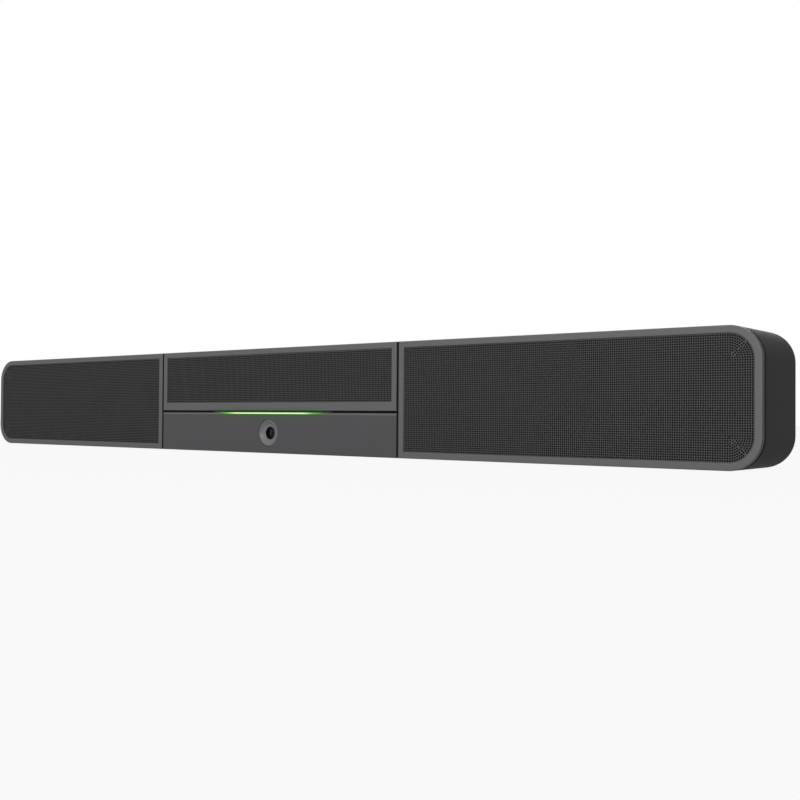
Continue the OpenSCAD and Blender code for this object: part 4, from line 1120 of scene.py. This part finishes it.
def socket_details():
    """Contacts and light windows of the network sockets, and the pin of the power inlet."""
    sockets = lumps("ethernet_sockets")
    contacts = [contact for low, high in sockets for contact in contact_row(low, high)]
    windows = [window for low, high in sockets for window in window_pair(low, high)]
    gold = plated_metal("contact_gold", shade(212, 178, 96), roughness=0.2)
    piece("socket_contacts", joined(contacts), gold)
    piece("socket_windows", joined(windows), window_plastic())
    pin_r = 1.03 * MM
    pin_l = 8.9 * MM
    dome = 0.5 * MM
    tip_in = 0.97 * MM
    tip = [(pin_r * math.cos(t), dome * math.sin(t)) for t in quarter_turn]
    pin = turned([(0.0, dome - pin_l), (pin_r, dome - pin_l)] + tip, PIN_STEPS)
    low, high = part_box("power_inlet")
    piece("inlet_pin", moved(pin, facing_back(low, high, sunk=tip_in + dome)), gold)


def push_caps():
    """Buttons with a rounded edge and a shallow hollow on top."""
    cap_r = 2.4 * MM
    cap_l = 2.8 * MM
    collar_t = 1.2 * MM
    soft = 0.35 * MM
    hollow = 0.15 * MM
    hollow_r = cap_r - 2 * soft
    top = [(hollow_r * t, -hollow * (1 - t**2)) for t in evenly(0.0, 1.0, steps=8)]
    edge = [(cap_r - soft + soft * math.sin(t), soft * math.cos(t) - soft) for t in quarter_turn]
    for name, slot, colour in (
        ("setup", "button_light", shade(150, 150, 152)),
        ("reset", "button_red", shade(128, 34, 26)),
    ):
        packed = f"{name}_button"
        low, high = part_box(packed)
        collar_r = (high.x - low.x) / 2
        length = high.y - low.y
        body = top + edge + [(cap_r, -cap_l), (collar_r, -cap_l), (collar_r, -cap_l - collar_t)]
        body += [(cap_r / 2, -cap_l - collar_t), (cap_r / 2, -length), (0.0, -length)]
        shape = moved(turned(body, SMALL_STEPS), facing_back(low, high))
        plastic = moulded(f"{name}_cap_plastic", colour, grain=0.25 * MM, roughness=0.4)
        piece(f"{name}_cap", shape, plastic, packed, [packed])


# Finishes of the parts that stay as packed


def dress(finish, *nodes):
    """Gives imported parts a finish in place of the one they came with."""
    for name in nodes:
        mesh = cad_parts[name].data
        mesh.materials.clear()
        mesh.materials.append(finish)


def dress_housings():
    """Housings, baffles and the other dark mouldings, and the cloths behind the grilles."""
    plastic = moulded(
        "housing_plastic",
        housing_grey,
        grain=0.6 * MM,
        relief=0.04 * MM,
        roughness=0.65,
        specular=0.05,
    )
    dress(plastic, "left_housing", "right_housing", "centre_housing")
    plastic = moulded("baffle_plastic", shade(18, 18, 19), roughness=0.7, specular=0.2)
    dress(plastic, "left_baffle", "right_baffle", "centre_carrier", "camera_cradle")
    dress(acoustic_cloth(), "grille_cloths")
    dress(black_plastic(), "power_inlet", "left_bass_port", "right_bass_port")


def dress_boards_and_metal():
    """Boards, sockets and metal parts, with the screws and bushes made anew in the same metals."""
    dress(solder_mask(), "light_board", "sensor_board", "microphone_board", "main_board")
    zinc = plated_metal("zinc_plate", shade(150, 152, 156))
    dress(zinc, "baffle_screws", "tilt_pins", "cradle_screws", "board_screws", "driver_screws")
    dress(socket_shell(), "ethernet_sockets", "hdmi_socket", "usb_socket")
    brass = plated_metal("brass", shade(196, 164, 96))
    dress(brass, "microphone_capsules")
    dress(plated_metal("aluminium", shade(190, 192, 196), roughness=0.35, along="z"), "heat_sink")
    dress(plated_metal("motor_iron", shade(96, 96, 100), roughness=0.4), "woofer_motors")
    coat = powder_coat("steel_coat", shade(30, 30, 32))
    dress(coat, "mounting_plate", "connector_plate", "left_woofer_baskets", "right_woofer_baskets")
    dress(powder_coat("tweeter_coat", shade(28, 28, 30)), "left_tweeter", "right_tweeter")
    dress(chip_plastic(), "board_components")
    cross_screws("plate_screws", "mounting_screws", zinc, head_h=1.8 * MM, flat_share=1)
    cross_screws("panel_screws", "connector_plate_screws", zinc, head_h=2 * MM, flat_share=0.62)
    threaded_bushes(brass)


def dress_woofers_and_leads():
    """Cones, surrounds and grommets, and the loudspeaker leads."""
    pulp = cone_pulp()
    rubber = moulded("soft_rubber", shade(20, 20, 20), grain=0.8 * MM, roughness=0.75)
    for number in range(1, 5):
        dress(pulp, f"woofer_cone_{number}")
        dress(rubber, f"woofer_suspension_{number}")
    dress(rubber, "lead_grommets")
    jacket = moulded("lead_jacket", shade(150, 32, 26), grain=1.5 * MM, roughness=0.4)
    dress(jacket, "left_speaker_lead", "right_speaker_lead")


# Studio


def seen_directly(nodes):
    """1 for a ray that shows what it meets to the camera, straight or by a mirror or glass."""
    path = nodes.node("LightPath").socket.node.outputs
    straight, mirror, glass = (
        Value(nodes, path[f"Is {kind} Ray"]) for kind in ("Camera", "Glossy", "Transmission")
    )
    return straight.most(mirror).most(glass)


def studio_floor():
    """Paper that looks white but throws only a plain grey light up at the bar, and keeps its shadow."""
    bpy.ops.mesh.primitive_plane_add(size=floor_size, location=(0, 0, 0))
    floor = bpy.context.object
    floor.name = "studio_floor"
    finish = Finish("studio_floor")
    paper = finish.noise(paper_spots)
    tone = finish.blend(paper, shade(150, 150, 150), shade(156, 156, 156))
    matt = finish.node("BsdfDiffuse", links={"Color": tone})
    white = finish.node("Emission", links={"Color": pure_white, "Strength": 1.0})
    share = seen_directly(finish) * floor_white
    surface = finish.node("MixShader", links={0: share, 1: matt, 2: white})
    finish.node("OutputMaterial", links={"Surface": surface})
    floor.data.materials.append(finish.material)


def studio_air():
    """White air where it is seen, and a dim even light on everything else."""
    world = bpy.data.worlds.new("studio")
    world.use_nodes = True
    bpy.context.scene.world = world
    nodes = Nodes(world.node_tree)
    level = seen_directly(nodes).across(ambient, 1.0)
    air = nodes.node("Background", links={"Color": pure_white, "Strength": level})
    nodes.node("OutputWorld", links={"Surface": air})


def softbox(name, width, height, place, aim, power):
    data = bpy.data.lights.new(name, "AREA")
    data.shape = "RECTANGLE"
    data.size = width
    data.size_y = height
    data.energy = power
    lamp = bpy.data.objects.new(name, data)
    lamp.location = place
    lamp.rotation_euler = (Vector(aim) - Vector(place)).to_track_quat("-Z", "Y").to_euler()
    bpy.context.scene.collection.objects.link(lamp)


def studio_lights():
    softbox("key_softbox", 1.5, 0.8, place=(0.95, -1.7, 0.7), aim=(0.1, 0.0, 0.05), power=28)
    softbox("fill_softbox", 1.4, 1.4, place=(-1.8, -1.6, 0.7), aim=(-0.1, 0.0, 0.05), power=3)
    softbox("rear_softbox", 1.8, 1.0, place=(-0.7, 2.3, 1.0), aim=(0.0, 0.0, 0.05), power=20)
    softbox("top_softbox", 2.0, 0.8, place=(0.0, 0.3, 1.9), aim=(0.0, 0.0, 0.1), power=8)


def camera():
    data = bpy.data.cameras.new("view")
    data.lens = lens_focal
    data.sensor_width = sensor_w
    data.clip_start = 0.01
    data.clip_end = 50.0
    ahead = Vector(
        (
            -math.sin(view_yaw) * math.cos(view_pitch),
            math.cos(view_yaw) * math.cos(view_pitch),
            math.sin(view_pitch),
        )
    )
    level_right = Vector((math.cos(view_yaw), math.sin(view_yaw), 0.0))
    level_down = ahead.cross(level_right)
    right = math.cos(view_roll) * level_right + math.sin(view_roll) * level_down
    down = math.cos(view_roll) * level_down - math.sin(view_roll) * level_right
    made = bpy.data.objects.new("view", data)
    turn = Matrix((right, -down, -ahead)).transposed().to_4x4()
    made.matrix_world = Matrix.Translation(view_place) @ turn
    bpy.context.scene.collection.objects.link(made)
    bpy.context.scene.camera = made


bpy.context.scene.view_settings.view_transform = "Standard"
camera()
front_frames()
grilles()
seam_shade_strips()
camera_head()
lens()
camera_panel()
light_bar()
socket_details()
push_caps()
dress_housings()
dress_boards_and_metal()
dress_woofers_and_leads()
studio_floor()
studio_air()
studio_lights()
